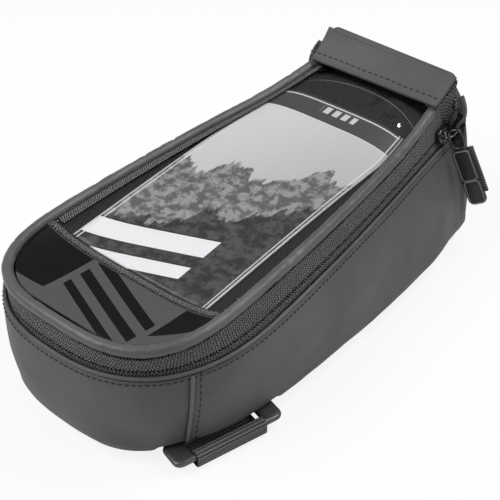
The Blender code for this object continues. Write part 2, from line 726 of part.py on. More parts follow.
def make_pull(frame, bail_top):
    """Link, rubber tab and webbing loop, hanging from the bail and leaning out from the wall."""
    bail_middle = frame @ bail_top
    down = Vector(PULL_DOWN).normalized()
    across = Vector(PULL_ACROSS)
    across = (across - down * across.dot(down)).normalized()
    hang = Matrix((across, -down, across.cross(-down))).transposed().to_4x4()
    hang = Matrix.Translation(bail_middle) @ hang
    slack = BAIL_RADIUS + LINK_RADIUS + CLEARANCE
    outline = rounded_corners(LINK_HALF_WIDTH, LINK_LENGTH / 2, LINK_CORNER)
    middle = -LINK_LENGTH / 2 + slack
    points = [Vector((place.x, place.y + middle, 0)) for place in outline]
    link_ring = tube_object("pull_link", "slider", points, LINK_RADIUS, closed=True)
    link_ring.matrix_local = hang
    low = middle - LINK_LENGTH / 2
    tab_top = low - LINK_RADIUS - CLEARANCE
    tab_pivot = pivot("pull_tab_pivot", hang @ Matrix.Translation((0, low, 0)))
    outline = rounded_corners(TAB_WIDTH / 2, TAB_LENGTH / 2, TAB_CORNER)
    tab = flat_plate("pull_tab", "rubber", outline, TAB_THICKNESS)
    tab.parent = tab_pivot
    tab.matrix_local = Matrix.Translation((0, tab_top - low - TAB_LENGTH / 2, 0))
    behind = TAB_THICKNESS / 2 + CLEARANCE + WEBBING_THICKNESS / 2
    outline = rounded_corners(WEBBING_WIDTH / 2, WEBBING_LENGTH / 2, WEBBING_CORNER)
    webbing = flat_plate("pull_webbing", "webbing", outline, WEBBING_THICKNESS)
    webbing.parent = tab_pivot
    webbing.matrix_local = Matrix.Translation((WEBBING_SHIFT, tab_top - low - WEBBING_LENGTH / 2, -behind))


def make_stops():
    for name, sign in (("zip_top_stop", 1), ("zip_bottom_stop", -1)):
        inner, middle, outer = band_points(sign * STOP_AT)
        span = (outer - inner).normalized()
        before = band_points(sign * (STOP_AT - PLACE_STEP))[1]
        after = band_points(sign * (STOP_AT + PLACE_STEP))[1]
        along = (after - before).normalized()
        normal = span.cross(along).normalized()
        if normal.z < 0:
            normal = -normal
        shape = bmesh.new()
        bmesh.ops.create_cube(shape, size=1)
        mesh = bpy.data.meshes.new(name)
        shape.to_mesh(mesh)
        shape.free()
        made = link(name, mesh, "slider")
        turn = Matrix((span, along, normal)).transposed().to_4x4()
        if turn.determinant() < 0:
            turn = Matrix((span, -along, normal)).transposed().to_4x4()
        middle = middle + normal * (TAPE / 2 + STOP_LIFT) + span * STOP_SHIFT
        made.matrix_local = Matrix.Translation(middle) @ turn @ Matrix.Diagonal((*STOP_SIZE, 1))


def hang_lid():
    """Puts the lid's pieces on an empty at the ridge, where the lid turns."""
    ridge = Vector((0, RIDGE_Y, RIDGE_Z))
    hinge = pivot("lid_hinge_pivot", Matrix.Translation(ridge))
    for name in LID_PIECES:
        piece = bpy.data.objects[name]
        piece.parent = hinge
        piece.matrix_local = Matrix.Translation(-ridge)


def centre_on_footprint():
    """Moves the bag so that the origin is under the middle of its bounding box, at the ground."""
    bpy.context.view_layer.update()
    graph = bpy.context.evaluated_depsgraph_get()
    low = Vector((1, 1, 1))
    high = -low
    for item in PARTS.objects:
        solid = item.evaluated_get(graph)
        mesh = solid.to_mesh()
        for corner in mesh.vertices:
            place = solid.matrix_world @ corner.co
            low = Vector(map(min, low, place))
            high = Vector(map(max, high, place))
        solid.to_mesh_clear()
    ROOT.location = (-(low.x + high.x) / 2, -(low.y + high.y) / 2, -low.z)
    bpy.context.view_layer.update()


clear_scene()
PARTS = bpy.data.collections.new("top_tube_phone_bag")
CUTTERS = bpy.data.collections.new("cutters")
bpy.context.scene.collection.children.link(PARTS)
bpy.context.scene.collection.children.link(CUTTERS)
CUTTERS.hide_render = True
ROOT = bpy.data.objects.new("bag_frame", None)
bpy.context.scene.collection.objects.link(ROOT)
SLOTS = {
    "wall": colour_material("wall", (0.10, 0.10, 0.105), 0.55),
    "base": colour_material("base", (0.06, 0.06, 0.065), 0.7),
    "board": colour_material("board", (0.03, 0.03, 0.03), 0.6),
    "rim": colour_material("rim", (0.22, 0.22, 0.23), 0.5),
    "tape": colour_material("tape", (0.06, 0.06, 0.06), 0.85),
    "coil": colour_material("coil", (0.02, 0.02, 0.02), 0.4),
    "piping": colour_material("piping", (0.14, 0.14, 0.145), 0.45),
    "lid_fabric": colour_material("lid_fabric", (0.08, 0.08, 0.085), 0.7),
    "clear_film": colour_material("clear_film", (0.9, 0.9, 0.9), 0.08),
    "card": colour_material("card", (0.5, 0.5, 0.5), 0.5),
    "mesh": colour_material("mesh", (0.02, 0.02, 0.02), 0.9),
    "webbing": colour_material("webbing", (0.05, 0.05, 0.05), 0.8),
    "ring": colour_material("ring", (0.30, 0.30, 0.31), 0.35, 0.6),
    "slider": colour_material("slider", (0.05, 0.05, 0.05), 0.25, 0.8),
    "rubber": colour_material("rubber", (0.03, 0.03, 0.03), 0.5),
}
make_walls()
make_bottom()
make_rim()
make_zip()
make_lid()
make_flap()
make_straps()
make_stem_straps()
SLIDER_FRAME, BAIL_TOP = make_slider()
make_pull(SLIDER_FRAME, BAIL_TOP)
make_stops()
hang_lid()
centre_on_footprint()
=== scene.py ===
"""Looks of the top tube phone bag: coated fabric walls, woven zip band, clear pocket, straps and ring.

Lengths are written in millimetres times MM. Points are worked out in the bag's own frame, whose middle
plane is X = 0, and SHIFT then moves them to the CAD's frame.
"""
import json
import math

import bpy
from mathutils import Matrix, Vector, noise


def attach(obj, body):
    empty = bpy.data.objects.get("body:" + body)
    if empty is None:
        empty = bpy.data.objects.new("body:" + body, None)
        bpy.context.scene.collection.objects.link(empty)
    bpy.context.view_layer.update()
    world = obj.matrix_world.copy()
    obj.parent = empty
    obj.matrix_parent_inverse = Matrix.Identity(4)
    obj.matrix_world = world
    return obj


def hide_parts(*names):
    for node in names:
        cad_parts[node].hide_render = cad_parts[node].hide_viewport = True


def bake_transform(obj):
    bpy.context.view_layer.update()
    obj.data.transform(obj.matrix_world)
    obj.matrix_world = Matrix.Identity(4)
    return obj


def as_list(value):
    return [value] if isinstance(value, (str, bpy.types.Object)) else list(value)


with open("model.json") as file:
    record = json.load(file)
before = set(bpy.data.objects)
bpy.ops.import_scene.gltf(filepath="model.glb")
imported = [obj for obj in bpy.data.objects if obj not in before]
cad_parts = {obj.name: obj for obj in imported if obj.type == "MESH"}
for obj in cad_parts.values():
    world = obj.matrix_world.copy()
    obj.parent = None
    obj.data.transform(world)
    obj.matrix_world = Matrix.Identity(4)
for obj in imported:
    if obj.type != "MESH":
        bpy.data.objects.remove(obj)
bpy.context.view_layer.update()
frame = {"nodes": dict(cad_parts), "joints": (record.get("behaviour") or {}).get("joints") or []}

MM = 0.001
UP = Vector((0, 0, 1))

# Outlines of the bag in plan, as the CAD has them
RIDGE_Y = 103.6 * MM
RIDGE_Z = 77.0 * MM
RIDGE_HALF_WIDTH = 31.0 * MM
END_WALL_Y = RIDGE_Y + 1.6 * MM
NOSE_SHARE = 0.42
KICK_START = 0.75
PLACE_STEP = 0.004
LID_NOSE_Y = -95 * MM
LID_END_Y = RIDGE_Y - 5.6 * MM
LID_NOSE_LENGTH = 52 * MM
LID_NOSE_POWER = 3.2
PIPING_RADIUS = 2.2 * MM
WALL_BULGE = 1.2 * MM
WALL_THICKNESS = 3.0 * MM
CORNER_BLEND = 0.25
LEFT_CORNER_PULL = 3 * MM
FOOT_NOSE_Y = -99.2 * MM
FOOT_END_Y = END_WALL_Y - 10.2 * MM
FOOT_NOSE_LENGTH = 73 * MM
FOOT_NOSE_POWER = 3.07
FOOT_HALF_WIDTHS = (46.2 * MM, 56.5 * MM, 51.7 * MM)
FOOT_RADIUS = 10 * MM
FOOT_CORNER = 7.8 * MM
HEM_INSET = 12 * MM
SEAM_PLACE = 0.255
SEAM_GAP = 0.0006
SEAM_REACH = 1.7
SEAM_STITCHES_ASIDE = 0.0155
LOWEST = 0.05 * MM
RIM_RADIUS = 0.7 * MM
RIM_END = 1.74
BASE_BOTTOM = WALL_THICKNESS + 0.6 * MM
BASE_THICKNESS = 1.4 * MM
BASE_OVERLAP = 2.0 * MM
TAPE = 0.9 * MM
TAPE_END = 1.7
TAPE_TOP = 1.82
TAPE_TUCK = 1.6 * MM
FLAP_SEWN_FROM = 0.96
STOP_AT = 1.62
STOP_SHIFT = 1.7 * MM
STOP_LIFT = 1.1 * MM
STOP_SIZE = (2.2 * MM, 2.4 * MM, 1.0 * MM)
ZIP_SHARE = 0.70
ZIP_HALF_GAP = 0.15 * MM
COIL_OFFSET = 0.95 * MM
COIL_END = 0.98
CLEARANCE = 0.3 * MM

# Pocket and front panel of the lid
STITCH_LINE_Y = -57 * MM
POCKET_Z = 55.0 * MM
POCKET_RISE = 0.10
FRONT_START_Y = LID_NOSE_Y + PIPING_RADIUS + 1.4 * MM
CARD_HALF_WIDTH = 34.2 * MM
CARD_START_Y = STITCH_LINE_Y + 2 * MM
CARD_END_Y = LID_END_Y - 26 * MM
POCKET_MOUTH_Y = LID_END_Y - 18 * MM
POCKET_MOUTH_BOW = 9 * MM
MOUTH_OVERLAP = 6 * MM
FLAP_EDGE_Y = RIDGE_Y - 11.4 * MM
FLAP_EDGE_Z = RIDGE_Z - 10.8 * MM
FLAP_SAG = 0.9 * MM
FLAP_SPREAD = 2.0 * MM
FLAP_THICKNESS = 1.6 * MM
FLAP_START = 0.05
FLAP_BEND = 0.143
FLAP_BEND_ANGLE = 144
FLAP_WIDEN = 2.5 * MM
FLAP_SHIFT = 1.2 * MM
RIDGE_SHIFT = 3.0 * MM
RIDGE_LIFT = 1.32 * MM
RIDGE_TILT = 0.9 * MM
RIDGE_UPRIGHT = 0.4
FOLD_RADIUS = 2.35 * MM
FOLD_CENTRE_Y = RIDGE_Y - 0.42 * MM
FOLD_CENTRE_Z = RIDGE_Z - 1.85 * MM
CARD_DROP = 0.8 * MM
BACKING_DROP = 2.3 * MM
MOUTH_DROP = 3.8 * MM
SEWN_UNDER = 1.2 * MM
SIDE_STRIP = 3.2 * MM
WINDOW_END_Y = FLAP_EDGE_Y + 2.2 * MM
POCKET_CLOTH = 1.2 * MM

# Give of the soft pieces: the wall's dip beside its seam, its lift over strap and ring, and the film's crease
SEAM_MM_PER_PLACE = 95
DIP_WIDTH = 2.2
DIP_DEPTH = 0.7
HEM_LIFT = 2.5 * MM
CREASE_AT = (20 * MM, 80 * MM)
CREASE_REACH = 12 * MM
CREASE_HEIGHT = 1.9 * MM

# Prints, in millimetres of the bag's own frame
FRONT_PRINT_END = -60.2
CARD_STRIP_Y = 58.5
BAND_OUTLINE = 0.9

# Spacing, length and width of stitches, and of the coil's turns: spacing, wire radius and turn radius
SEAM_STITCH = (3.0 * MM, 2.1 * MM, 0.42 * MM)
RIM_STITCH = (2.4 * MM, 1.7 * MM, 0.6 * MM)
WINDOW_STITCH = (2.2 * MM, 1.9 * MM, 0.7 * MM)
FLAP_STITCH = (3.0 * MM, 2.1 * MM, 0.5 * MM)
COIL_TURN = (1.25 * MM, 0.26 * MM, 0.62 * MM)

# Slider and its pull
SLIDER_Y = LID_END_Y - 6.5 * MM
SLIDER_LENGTH = 10.5 * MM
SLIDER_WIDTH = 6.8 * MM
SLIDER_SHIFT = 1.6 * MM
SLIDER_THICKNESS = 2.2 * MM
SLIDER_CLEARANCE = 1.1 * MM
SLIDER_TRAVEL = 60 * MM
BAIL_RADIUS = 0.65 * MM
BAIL_LENGTH = 8.0 * MM
BAIL_HEIGHT = 2.9 * MM
LINK_RADIUS = 0.6 * MM
LINK_LENGTH = 8.5 * MM
LINK_HALF_WIDTH = 2.9 * MM
LINK_CORNER = 2.2 * MM
PULL_DOWN = (0.45, 0.06, -0.89)
PULL_ACROSS = (0.95, 0.30, 0.0)
TAB_LENGTH = 26.5 * MM
TAB_WIDTH = 8.2 * MM
TAB_THICKNESS = 2.0 * MM
WEBBING_LENGTH = 22 * MM
WEBBING_WIDTH = 8.0 * MM
WEBBING_THICKNESS = 1.1 * MM
WEBBING_SHIFT = 1.5 * MM

# Keeper and strap on the end wall
KEEPER_WIDTH = 34 * MM
KEEPER_HEIGHT = 26 * MM
KEEPER_Z = 44 * MM
STEM_STRAP_WIDTH = 20 * MM
STEM_STRAP_LENGTH = 52 * MM

# Strap at the foot of the nose
STRAP_TURN = 16
STRAP_LINE_Y = -49.6 * MM
STRAP_HALF_WIDTH = 15 * MM
STRAP_THICKNESS = 0.9 * MM
STRAP_REACH = 71.2 * MM
STRAP_LEFT_END = -27 * MM
RING_LENGTH = 47 * MM
RING_WIDTH = 12.0 * MM
RING_BAR = 2.6 * MM
RING_CORNER = 3 * MM
RING_END = 8.4 * MM
TAB_TAIL = 16 * MM
STRAP_HIGH_Z = 1.5 * STRAP_THICKNESS + CLEARANCE
RING_Z = STRAP_HIGH_Z + 1.5 * STRAP_THICKNESS + 2 * CLEARANCE + RING_BAR / 2
RING_WRAP = RING_BAR / 2 + CLEARANCE + STRAP_THICKNESS / 2
RING_TOP = RING_Z + RING_WRAP + STRAP_THICKNESS / 2 + CLEARANCE

# Camera, as solved from the view, and light
CAMERA_AZIMUTH = 39.89
CAMERA_ELEVATION = 38.27
CAMERA_LENS = 36 * 1151.14 / 500
CAMERA_TARGET = Vector((8.29 * MM, 0, 31.27 * MM))
CAMERA_DISTANCE = 0.46573
SOFT_LIGHT = 0.24
FLOOR_GLOW = 0.86
FLOOR_Z = -0.0004
LIGHT_TARGET = Vector((0, 0, 0.03))
LIGHT_DISTANCE = 0.9

HINGE = Vector(next(joint for joint in frame["joints"] if joint["name"] == "lid_hinge")["pos_m"])
SHIFT = HINGE - Vector((0, RIDGE_Y, RIDGE_Z))


def middle_curve(values, share):
    """Value on a smooth curve through three values at shares 0, 0.5 and 1."""
    start, middle, end = values
    early, late = start * (1 - share) * (1 - 2 * share), end * share * (2 * share - 1)
    return early + middle * 4 * share * (1 - share) + late


class Outline:
    """One level of the bag in plan: a rounded nose, sides, and a turn round the stem corner."""

    def __init__(self, nose_y, end_y, nose_length, power, widths, heights, turn, left_pull=0.0):
        self.nose_y, self.end_y = nose_y, end_y
        self.left_pull = left_pull
        self.nose_length, self.power = nose_length, power
        self.widths, self.heights, self.turn = widths, heights, turn

    def on_side(self, y):
        """Half-width and height of the outline's side at Y, as if it had no rounded nose."""
        share = (y - self.nose_y) / (self.end_y - self.nose_y)
        start, end, kick = self.heights
        late = max(0.0, (share - KICK_START) / (1 - KICK_START))
        return middle_curve(self.widths, share), start + (end - start) * share + kick * late**2

    def at(self, place):
        """Point for a place from 0 at the nose to 1 at the end of the side, then to 2 round the corner."""
        side = -1 if place < 0 else 1
        place = abs(place)
        rounding = 1.0
        if place <= NOSE_SHARE:
            angle = place / NOSE_SHARE * math.pi / 2
            rounding = math.sin(angle) ** (2 / self.power)
            y = self.nose_y + self.nose_length * (1 - max(0.0, math.cos(angle)) ** (2 / self.power))
        else:
            straight = self.end_y - self.nose_y - self.nose_length
            y = self.nose_y + self.nose_length + straight * min(1, (place - NOSE_SHARE) / (1 - NOSE_SHARE))
        width, z = self.on_side(y)
        point = Vector((width * rounding, y, z))
        if place > 1:
            step = place - 1
            control, last = self.turn
            if side < 0:
                control = control - Vector((self.left_pull, 0, 0))
                last = last - Vector((self.left_pull * 0.6, 0, 0))
            point = point * (1 - step) ** 2 + control * 2 * step * (1 - step) + last * step**2
        return Vector((side * point.x, point.y, point.z))

    def along(self, place):
        return (self.at(min(2, place + PLACE_STEP)) - self.at(max(-2, place - PLACE_STEP))).normalized()

    def inward(self, place):
        """Unit vector in plan that points from the outline to its inside."""
        along = self.along(place)
        return Vector((-along.y, along.x, 0)).normalized()


WALL_TOP = Outline(
    -100 * MM, END_WALL_Y - 3.7 * MM, 66 * MM, 2.5, (55.4 * MM, 50.9 * MM, 38.4 * MM),
    (41.8 * MM, 48.0 * MM, -2.4 * MM),
    (
        Vector((RIDGE_HALF_WIDTH + 17 * MM, END_WALL_Y, RIDGE_Z - 17 * MM)),
        Vector((RIDGE_HALF_WIDTH, END_WALL_Y, RIDGE_Z - 3.2 * MM)),
    ),
    LEFT_CORNER_PULL,
)
FOOT_END_X = FOOT_HALF_WIDTHS[2]
FOOT_LAST_X = FOOT_END_X - 1.6 * FOOT_CORNER
FOOT = Outline(
    FOOT_NOSE_Y, FOOT_END_Y, FOOT_NOSE_LENGTH, FOOT_NOSE_POWER, FOOT_HALF_WIDTHS,
    (FOOT_RADIUS, FOOT_RADIUS, 0.0),
    (Vector((FOOT_END_X, END_WALL_Y, FOOT_RADIUS)), Vector((FOOT_LAST_X, END_WALL_Y, FOOT_RADIUS))),
)
HEM = Outline(
    FOOT_NOSE_Y + HEM_INSET, FOOT_END_Y - 7 * MM, FOOT_NOSE_LENGTH - HEM_INSET, FOOT_NOSE_POWER,
    tuple(width - HEM_INSET for width in FOOT_HALF_WIDTHS), (0.0, 0.0, 0.0),
    (
        Vector((FOOT_END_X - HEM_INSET, END_WALL_Y - HEM_INSET, 0)),
        Vector((FOOT_LAST_X - HEM_INSET / 3, END_WALL_Y - HEM_INSET, 0)),
    ),
)
LID = Outline(
    LID_NOSE_Y, LID_END_Y, LID_NOSE_LENGTH, LID_NOSE_POWER, (45.4 * MM, 42.3 * MM, 31.0 * MM),
    (53.5 * MM, 58.2 * MM, 5.4 * MM),
    (
        Vector((RIDGE_HALF_WIDTH + 1.6 * MM, RIDGE_Y - 4 * MM, RIDGE_Z - 9 * MM)),
        Vector((RIDGE_HALF_WIDTH - 1.8 * MM, RIDGE_Y - 3.8 * MM, RIDGE_Z - 3.0 * MM)),
    ),
)


def wall_point(place, down):
    """Outer face of the wall: 0 at its top edge, 1 at the widest line, 2 at the hem under the bag."""
    foot = FOOT.at(place)
    if down <= 1:
        bulge = WALL_BULGE * math.sin(math.pi * down)
        return WALL_TOP.at(place).lerp(foot, down) - FOOT.inward(place) * bulge
    angle = (down - 1) * math.pi / 2
    flat = foot.lerp(HEM.at(place), 1 - math.cos(angle))
    return Vector((flat.x, flat.y, FOOT_RADIUS * (1 - math.sin(angle))))


def edge_up(place):
    """Unit vector that leaves the walls' top edge squarely, in the plane of the wall."""
    along = WALL_TOP.along(place)
    return (UP - along * UP.dot(along)).normalized()


def corner_share(place):
    """0 along the sides and the nose, and 1 where the outline climbs the stem corner."""
    return min(1.0, max(0.0, (abs(place) - 1) / CORNER_BLEND))


def band_points(place):
    """Inner edge, zip line and outer edge of the zip band at one place along the outline."""
    piping = LID.at(place)
    wall = WALL_TOP.at(place)
    inner = piping + (wall - piping).normalized() * (PIPING_RADIUS + CLEARANCE + TAPE / 2)
    tuck = 2 * RIM_RADIUS + 3 * CLEARANCE + TAPE_TUCK * corner_share(place)
    outer = wall + FOOT.inward(place) * tuck + edge_up(place) * (CLEARANCE + TAPE / 2)
    return inner, inner.lerp(outer, ZIP_SHARE), outer


def inside_width(y):
    """Half-width between the inner sides of the lid's piping."""
    inset = PIPING_RADIUS + CLEARANCE
    share = min(1.0, max(0.0, (y - LID_NOSE_Y - inset) / (LID_NOSE_LENGTH - inset / 2)))
    return (LID.on_side(y)[0] - inset) * (1 - (1 - share) ** LID_NOSE_POWER) ** (1 / LID_NOSE_POWER)


def pocket_height(across, y):
    """Middle of the window film at a share of the way from the middle to the piping."""
    blend = abs(across) ** 4
    return (POCKET_Z + POCKET_RISE * y) * (1 - blend) + LID.on_side(y)[1] * blend


# Shader expressions


def arithmetic(operation, swapped=False):
    """A method that puts its value and the others through one maths node."""
    def method(self, *others):
        inputs = (*others, self) if swapped else (self, *others)
        return self.finish.node("ShaderNodeMath", {"operation": operation}, inputs)
    return method


class Value:
    """A shader socket that can be used in plain arithmetic."""

    def __init__(self, finish, socket):
        self.finish = finish
        self.socket = socket

    __add__ = __radd__ = arithmetic("ADD")
    __sub__ = arithmetic("SUBTRACT")
    __rsub__ = arithmetic("SUBTRACT", swapped=True)
    __mul__ = __rmul__ = arithmetic("MULTIPLY")
    __truediv__ = arithmetic("DIVIDE")
    __gt__ = arithmetic("GREATER_THAN")
    __lt__ = arithmetic("LESS_THAN")
    __abs__ = arithmetic("ABSOLUTE")
    sine = arithmetic("SINE")
    fraction = arithmetic("FRACT")
    least = arithmetic("MINIMUM")

    def step(self, low, high):
        """0 below low and 1 above high, smooth between them."""
        settings = {"interpolation_type": "SMOOTHSTEP"}
        inputs = {"Value": self, "From Min": low, "From Max": high}
        return self.finish.node("ShaderNodeMapRange", settings, inputs)

    def ripple(self, length):
        """0 to 1 and back over each length in millimetres."""
        return (self * (2 * math.pi / length)).sine() * 0.5 + 0.5


class Finish:
    """A material with its Principled shader, whose nodes are added by expressions."""

    def __init__(self, name, place="Object", **constants):
        self.material = bpy.data.materials.new(name)
        self.material.use_nodes = True
        self.tree = self.material.node_tree
        self.shader = self.tree.nodes["Principled BSDF"]
        for socket, value in constants.items():
            self.set(socket.replace("_", " "), value)
        self.vector, self.axes = self.place(place)

    def set(self, socket, value):
        self.join(value, self.shader.inputs[socket])

    def join(self, value, socket):
        if isinstance(value, Value):
            self.tree.links.new(value.socket, socket)
        elif isinstance(value, (tuple, list)) and len(value) == 3 and socket.type == "RGBA":
            socket.default_value = (*value, 1)
        else:
            socket.default_value = value

    def node(self, kind, settings=None, inputs=(), output=0):
        """Adds a node, sets it, fills its sockets by place or by name, and gives one of its outputs."""
        made = self.tree.nodes.new(kind)
        for name, value in (settings or {}).items():
            setattr(made, name, value)
        pairs = inputs.items() if isinstance(inputs, dict) else enumerate(inputs)
        for socket, value in pairs:
            self.join(value, made.inputs[socket])
        return Value(self, made.outputs[output])

    def place(self, kind):
        """X, Y and Z of the surface point in millimetres, or along and across a strip for UV."""
        vector = self.node("ShaderNodeTexCoord", output=kind)
        inputs = {"Vector": vector, "Scale": 1 / MM}
        vector = self.node("ShaderNodeVectorMath", {"operation": "SCALE"}, inputs)
        return vector, [self.node("ShaderNodeSeparateXYZ", None, (vector,), axis) for axis in range(3)]

    def in_plan(self):
        """X and Y in the bag's own frame, in millimetres."""
        return self.axes[0] - SHIFT.x / MM, self.axes[1] - SHIFT.y / MM

    def noise(self, scale, detail=2.0, roughness=0.5, vector=None):
        vector = self.vector if vector is None else vector
        sockets = {"Vector": vector, "Scale": scale, "Detail": detail, "Roughness": roughness}
        return self.node("ShaderNodeTexNoise", None, sockets)

    def mix(self, share, first, second):
        made = self.node("ShaderNodeMix", {"data_type": "RGBA"}, {"Factor": share}, 2)
        inputs = made.socket.node.inputs
        self.join(first, inputs[6])
        self.join(second, inputs[7])
        return made

    def greys(self, share, low, high):
        return self.mix(share, grey(low), grey(high))

    def bump(self, height, depth):
        """Raises the surface by the height times a depth in millimetres."""
        sockets = {"Height": height, "Distance": depth * MM, "Strength": 1.0}
        self.set("Normal", self.node("ShaderNodeBump", None, sockets))


def grey(level):
    return (level, level, level * 1.02)


def weave(along, across, pitch):
    """Height of a plain weave, 0 to 1, from two lengths in millimetres."""
    turn = 2 * math.pi / pitch
    return (along * turn).sine() * (across * turn).sine() * 0.5 + 0.5


def coated_fabric(name, level, roughness):
    """Smooth matt coated fabric: a fine grain over faint threads, with a slightly uneven tone."""
    finish = Finish(name, Roughness=roughness, Specular_IOR_Level=0.4, Sheen_Weight=0.05, Sheen_Roughness=0.4)
    threads = (finish.axes[2] + finish.axes[0] * 0.12).ripple(0.95)
    grain = finish.noise(2.6) * 0.7 + threads * 0.3
    tone = finish.noise(0.035, 3.0).step(0.3, 0.7)
    finish.set("Base Color", finish.greys(tone, level * 0.86, level * 1.14))
    finish.set("Roughness", grain * 0.16 + (roughness - 0.08))
    finish.bump(grain * 0.7 + finish.noise(5.5, 1.0) * 0.3, 0.09)
    return finish.material


def woven_fabric(name, level, pitch):
    """Plain woven cloth on the piece's own UV map."""
    finish = Finish(name, "UV", Roughness=0.8)
    height = weave(*finish.axes[:2], pitch) * 0.8 + finish.noise(1.1) * 0.2
    finish.set("Base Color", finish.greys(height, level * 0.65, level * 1.35))
    finish.bump(height, 0.12)
    return finish.material


def webbing_fabric(name, level):
    """Ribbed strap webbing: ribs across the strap, with fine threads over them."""
    finish = Finish(name, "UV", Roughness=0.72)
    threads = weave(*finish.axes[:2], 0.9)
    height = finish.axes[0].ripple(1.2) * 0.5 + threads * 0.35 + finish.noise(0.9, 3.0) * 0.15
    finish.set("Base Color", finish.greys(height.step(0.2, 0.8), level * 0.15, level * 1.6))
    finish.bump(height, 0.5)
    return finish.material


def tape_fabric(name, level):
    """Knitted zip tape: loops in slanting rows, and small rungs along the edge at the zip line."""
    finish = Finish(name, "UV", Roughness=0.85, Specular_IOR_Level=0.25)
    along, across = finish.axes[:2]
    wander = finish.noise(0.7) * 0.9
    zigzag = abs((across / 1.9).fraction() - 0.5) * 2.1
    loops = ((along + zigzag + wander) * (2 * math.pi / 1.15)).sine()
    rows = ((across + wander * 0.5) * (2 * math.pi / 0.95)).sine()
    height = loops * 0.28 + rows * 0.14 + finish.noise(1.5, 3.0, 0.7) * 0.5 + 0.25
    rungs = (across < 0.5) * (abs((along / 1.5).fraction() - 0.5) > 0.2)
    colour = finish.greys(height.step(0.30, 0.74), level * 0.12, level * 3.4)
    finish.set("Base Color", finish.mix(rungs * 0.85, colour, grey(level * 0.06)))
    finish.bump(height - rungs * 0.5, 0.5)
    return finish.material


def printed_front():
    """Woven panel with plain printed fields: two dark corners and slanted bars between them."""
    finish = Finish("printed_front", Roughness=0.6, Specular_IOR_Level=0.2)
    x, y = finish.in_plan()
    cloth = weave(x + y, x - y, 0.9)
    base = finish.greys(cloth * 0.6 + finish.noise(1.4) * 0.4, 0.058, 0.110)
    slope = y + x * 0.42
    left = ((y - x * 0.10) > -83.5) * (x < -17.5)
    zone = (slope > -84.5) * (slope < -58.0) * (x > -14.5) * (x < 27.0)
    bars = (((slope + 2.6) / 9.2).fraction() < 0.52) * zone
    right = ((y - (x - 30) * 0.9) > -80.0) * (x > 29.5)
    field = ((left + bars + right) * (y < FRONT_PRINT_END)).least(1.0)
    finish.set("Base Color", finish.mix(field, base, grey(0.003)))
    finish.set("Roughness", 0.62 - field * 0.12)
    finish.bump(cloth * (1 - field * 0.8), 0.10)
    return finish.material


def printed_card():
    """Insert with a plain landscape in greys: pale sky, dark head strip, ridges, and slanted bands, with
    light lines painted on as highlights of the clear pocket's welded edges and bends.
    """
    finish = Finish("printed_card", Roughness=0.42)
    x, y = finish.in_plan()

    def below_ridge(seed, scale, roughness, height, foot, rise):
        """1 below a jagged line whose height follows noise along X."""
        line = finish.node("ShaderNodeCombineXYZ", None, (x, seed, 0.0))
        return y < (finish.noise(scale, 5.0, roughness, line) * height - foot + x * rise)

    def bands(margin):
        slope = y - x * 0.36
        return ((abs(slope + 34.0) < 5.2 + margin) + (abs(slope + 49.5) < 3.6 + margin)) * (x < 14.0)

    sky = finish.greys((y * 0.6 - x).step(-40, 70), 0.44, 0.66)
    sky = finish.mix(finish.noise(0.9, 4.0, 0.8).step(0.64, 0.72) * 0.35, sky, grey(0.2))
    rock = finish.noise(0.22, 4.0, 0.7).step(0.42, 0.6)
    colour = finish.mix(below_ridge(3.0, 0.075, 0.62, 66, 16, 0.55), sky, finish.greys(rock, 0.10, 0.32))
    near = finish.greys(rock, 0.012, 0.07)
    colour = finish.mix(below_ridge(47.0, 0.1, 0.65, 52, 41, 0.72), colour, near)
    colour = finish.mix(bands(BAND_OUTLINE).least(1.0), colour, grey(0.02))
    colour = finish.mix(bands(0.0).least(1.0), colour, grey(0.86))
    strip = y > CARD_STRIP_Y
    marks = (abs(y - 66.5) < 2.2) * (abs(x - 2.0) < 9.0) * (((x + 0.5) / 4.6).fraction() < 0.62)
    ticks = (abs(y - 70.4) < 0.45) * ((x / 1.5).fraction() < 0.4)
    colour = finish.mix(strip, colour, grey(0.05))
    colour = finish.mix((strip * (marks + ticks)).least(1.0), colour, grey(0.6))
    # Light lines along the card's sides, at the head strip's edge and across the head: painted highlights,
    # where the clear pocket's welded edges and bends catch the light.
    half = CARD_HALF_WIDTH / MM
    edge = abs(finish.place("UV")[1][0] - half)
    painted_highlight_lines = (edge > half - 0.7) + (abs(edge - (half - 1.9)) < 0.28) + (abs(y - CARD_STRIP_Y) < 0.3)
    painted_highlight_lines = painted_highlight_lines + (abs(y - 70.2) < 0.38) * (edge < half - 1.9)
    finish.set("Base Color", finish.mix(painted_highlight_lines.least(1.0) * 0.8, colour, grey(0.75)))
    return finish.material


def ribbed_mesh():
    """Dark pocket fabric with fine ribs across it."""
    finish = Finish("ribbed_mesh", Roughness=0.8, Specular_IOR_Level=0.15)
    ribs = (finish.axes[0] * 0.94 + finish.axes[1] * 0.34).ripple(1.35)
    height = ribs * 0.7 + finish.noise(1.2, 3.0, 0.7) * 0.3
    finish.set("Base Color", finish.greys(height, 0.002, 0.018))
    finish.bump(height, 0.4)
    return finish.material


def clear_film():
    """Thin clear film: a faint mirror sheen over what lies behind it."""
    finish = Finish("clear_film", Roughness=0.07, Metallic=1.0, Base_Color=grey(0.95), Alpha=0.05)
    finish.bump(finish.noise(0.05), 0.25)
    return finish.material


def smooth_metal(name, level, roughness, metallic, coat=0.0):
    finish = Finish(name, Roughness=roughness, Metallic=metallic, Coat_Weight=coat)
    wear = finish.noise(0.6, 3.0)
    finish.set("Base Color", finish.greys(wear, level * 0.85, level * 1.15))
    finish.set("Roughness", wear * 0.12 + (roughness - 0.06))
    finish.bump(finish.noise(1.6), 0.02)
    return finish.material


def moulded(name, level, roughness):
    """Moulded rubber or plastic with a fine matt grain."""
    finish = Finish(name, Roughness=roughness)
    grain = finish.noise(3.5)
    finish.set("Base Color", finish.greys(grain, level * 0.8, level * 1.2))
    finish.set("Roughness", grain * 0.15 + (roughness - 0.07))
    finish.bump(grain, 0.04)
    return finish.material


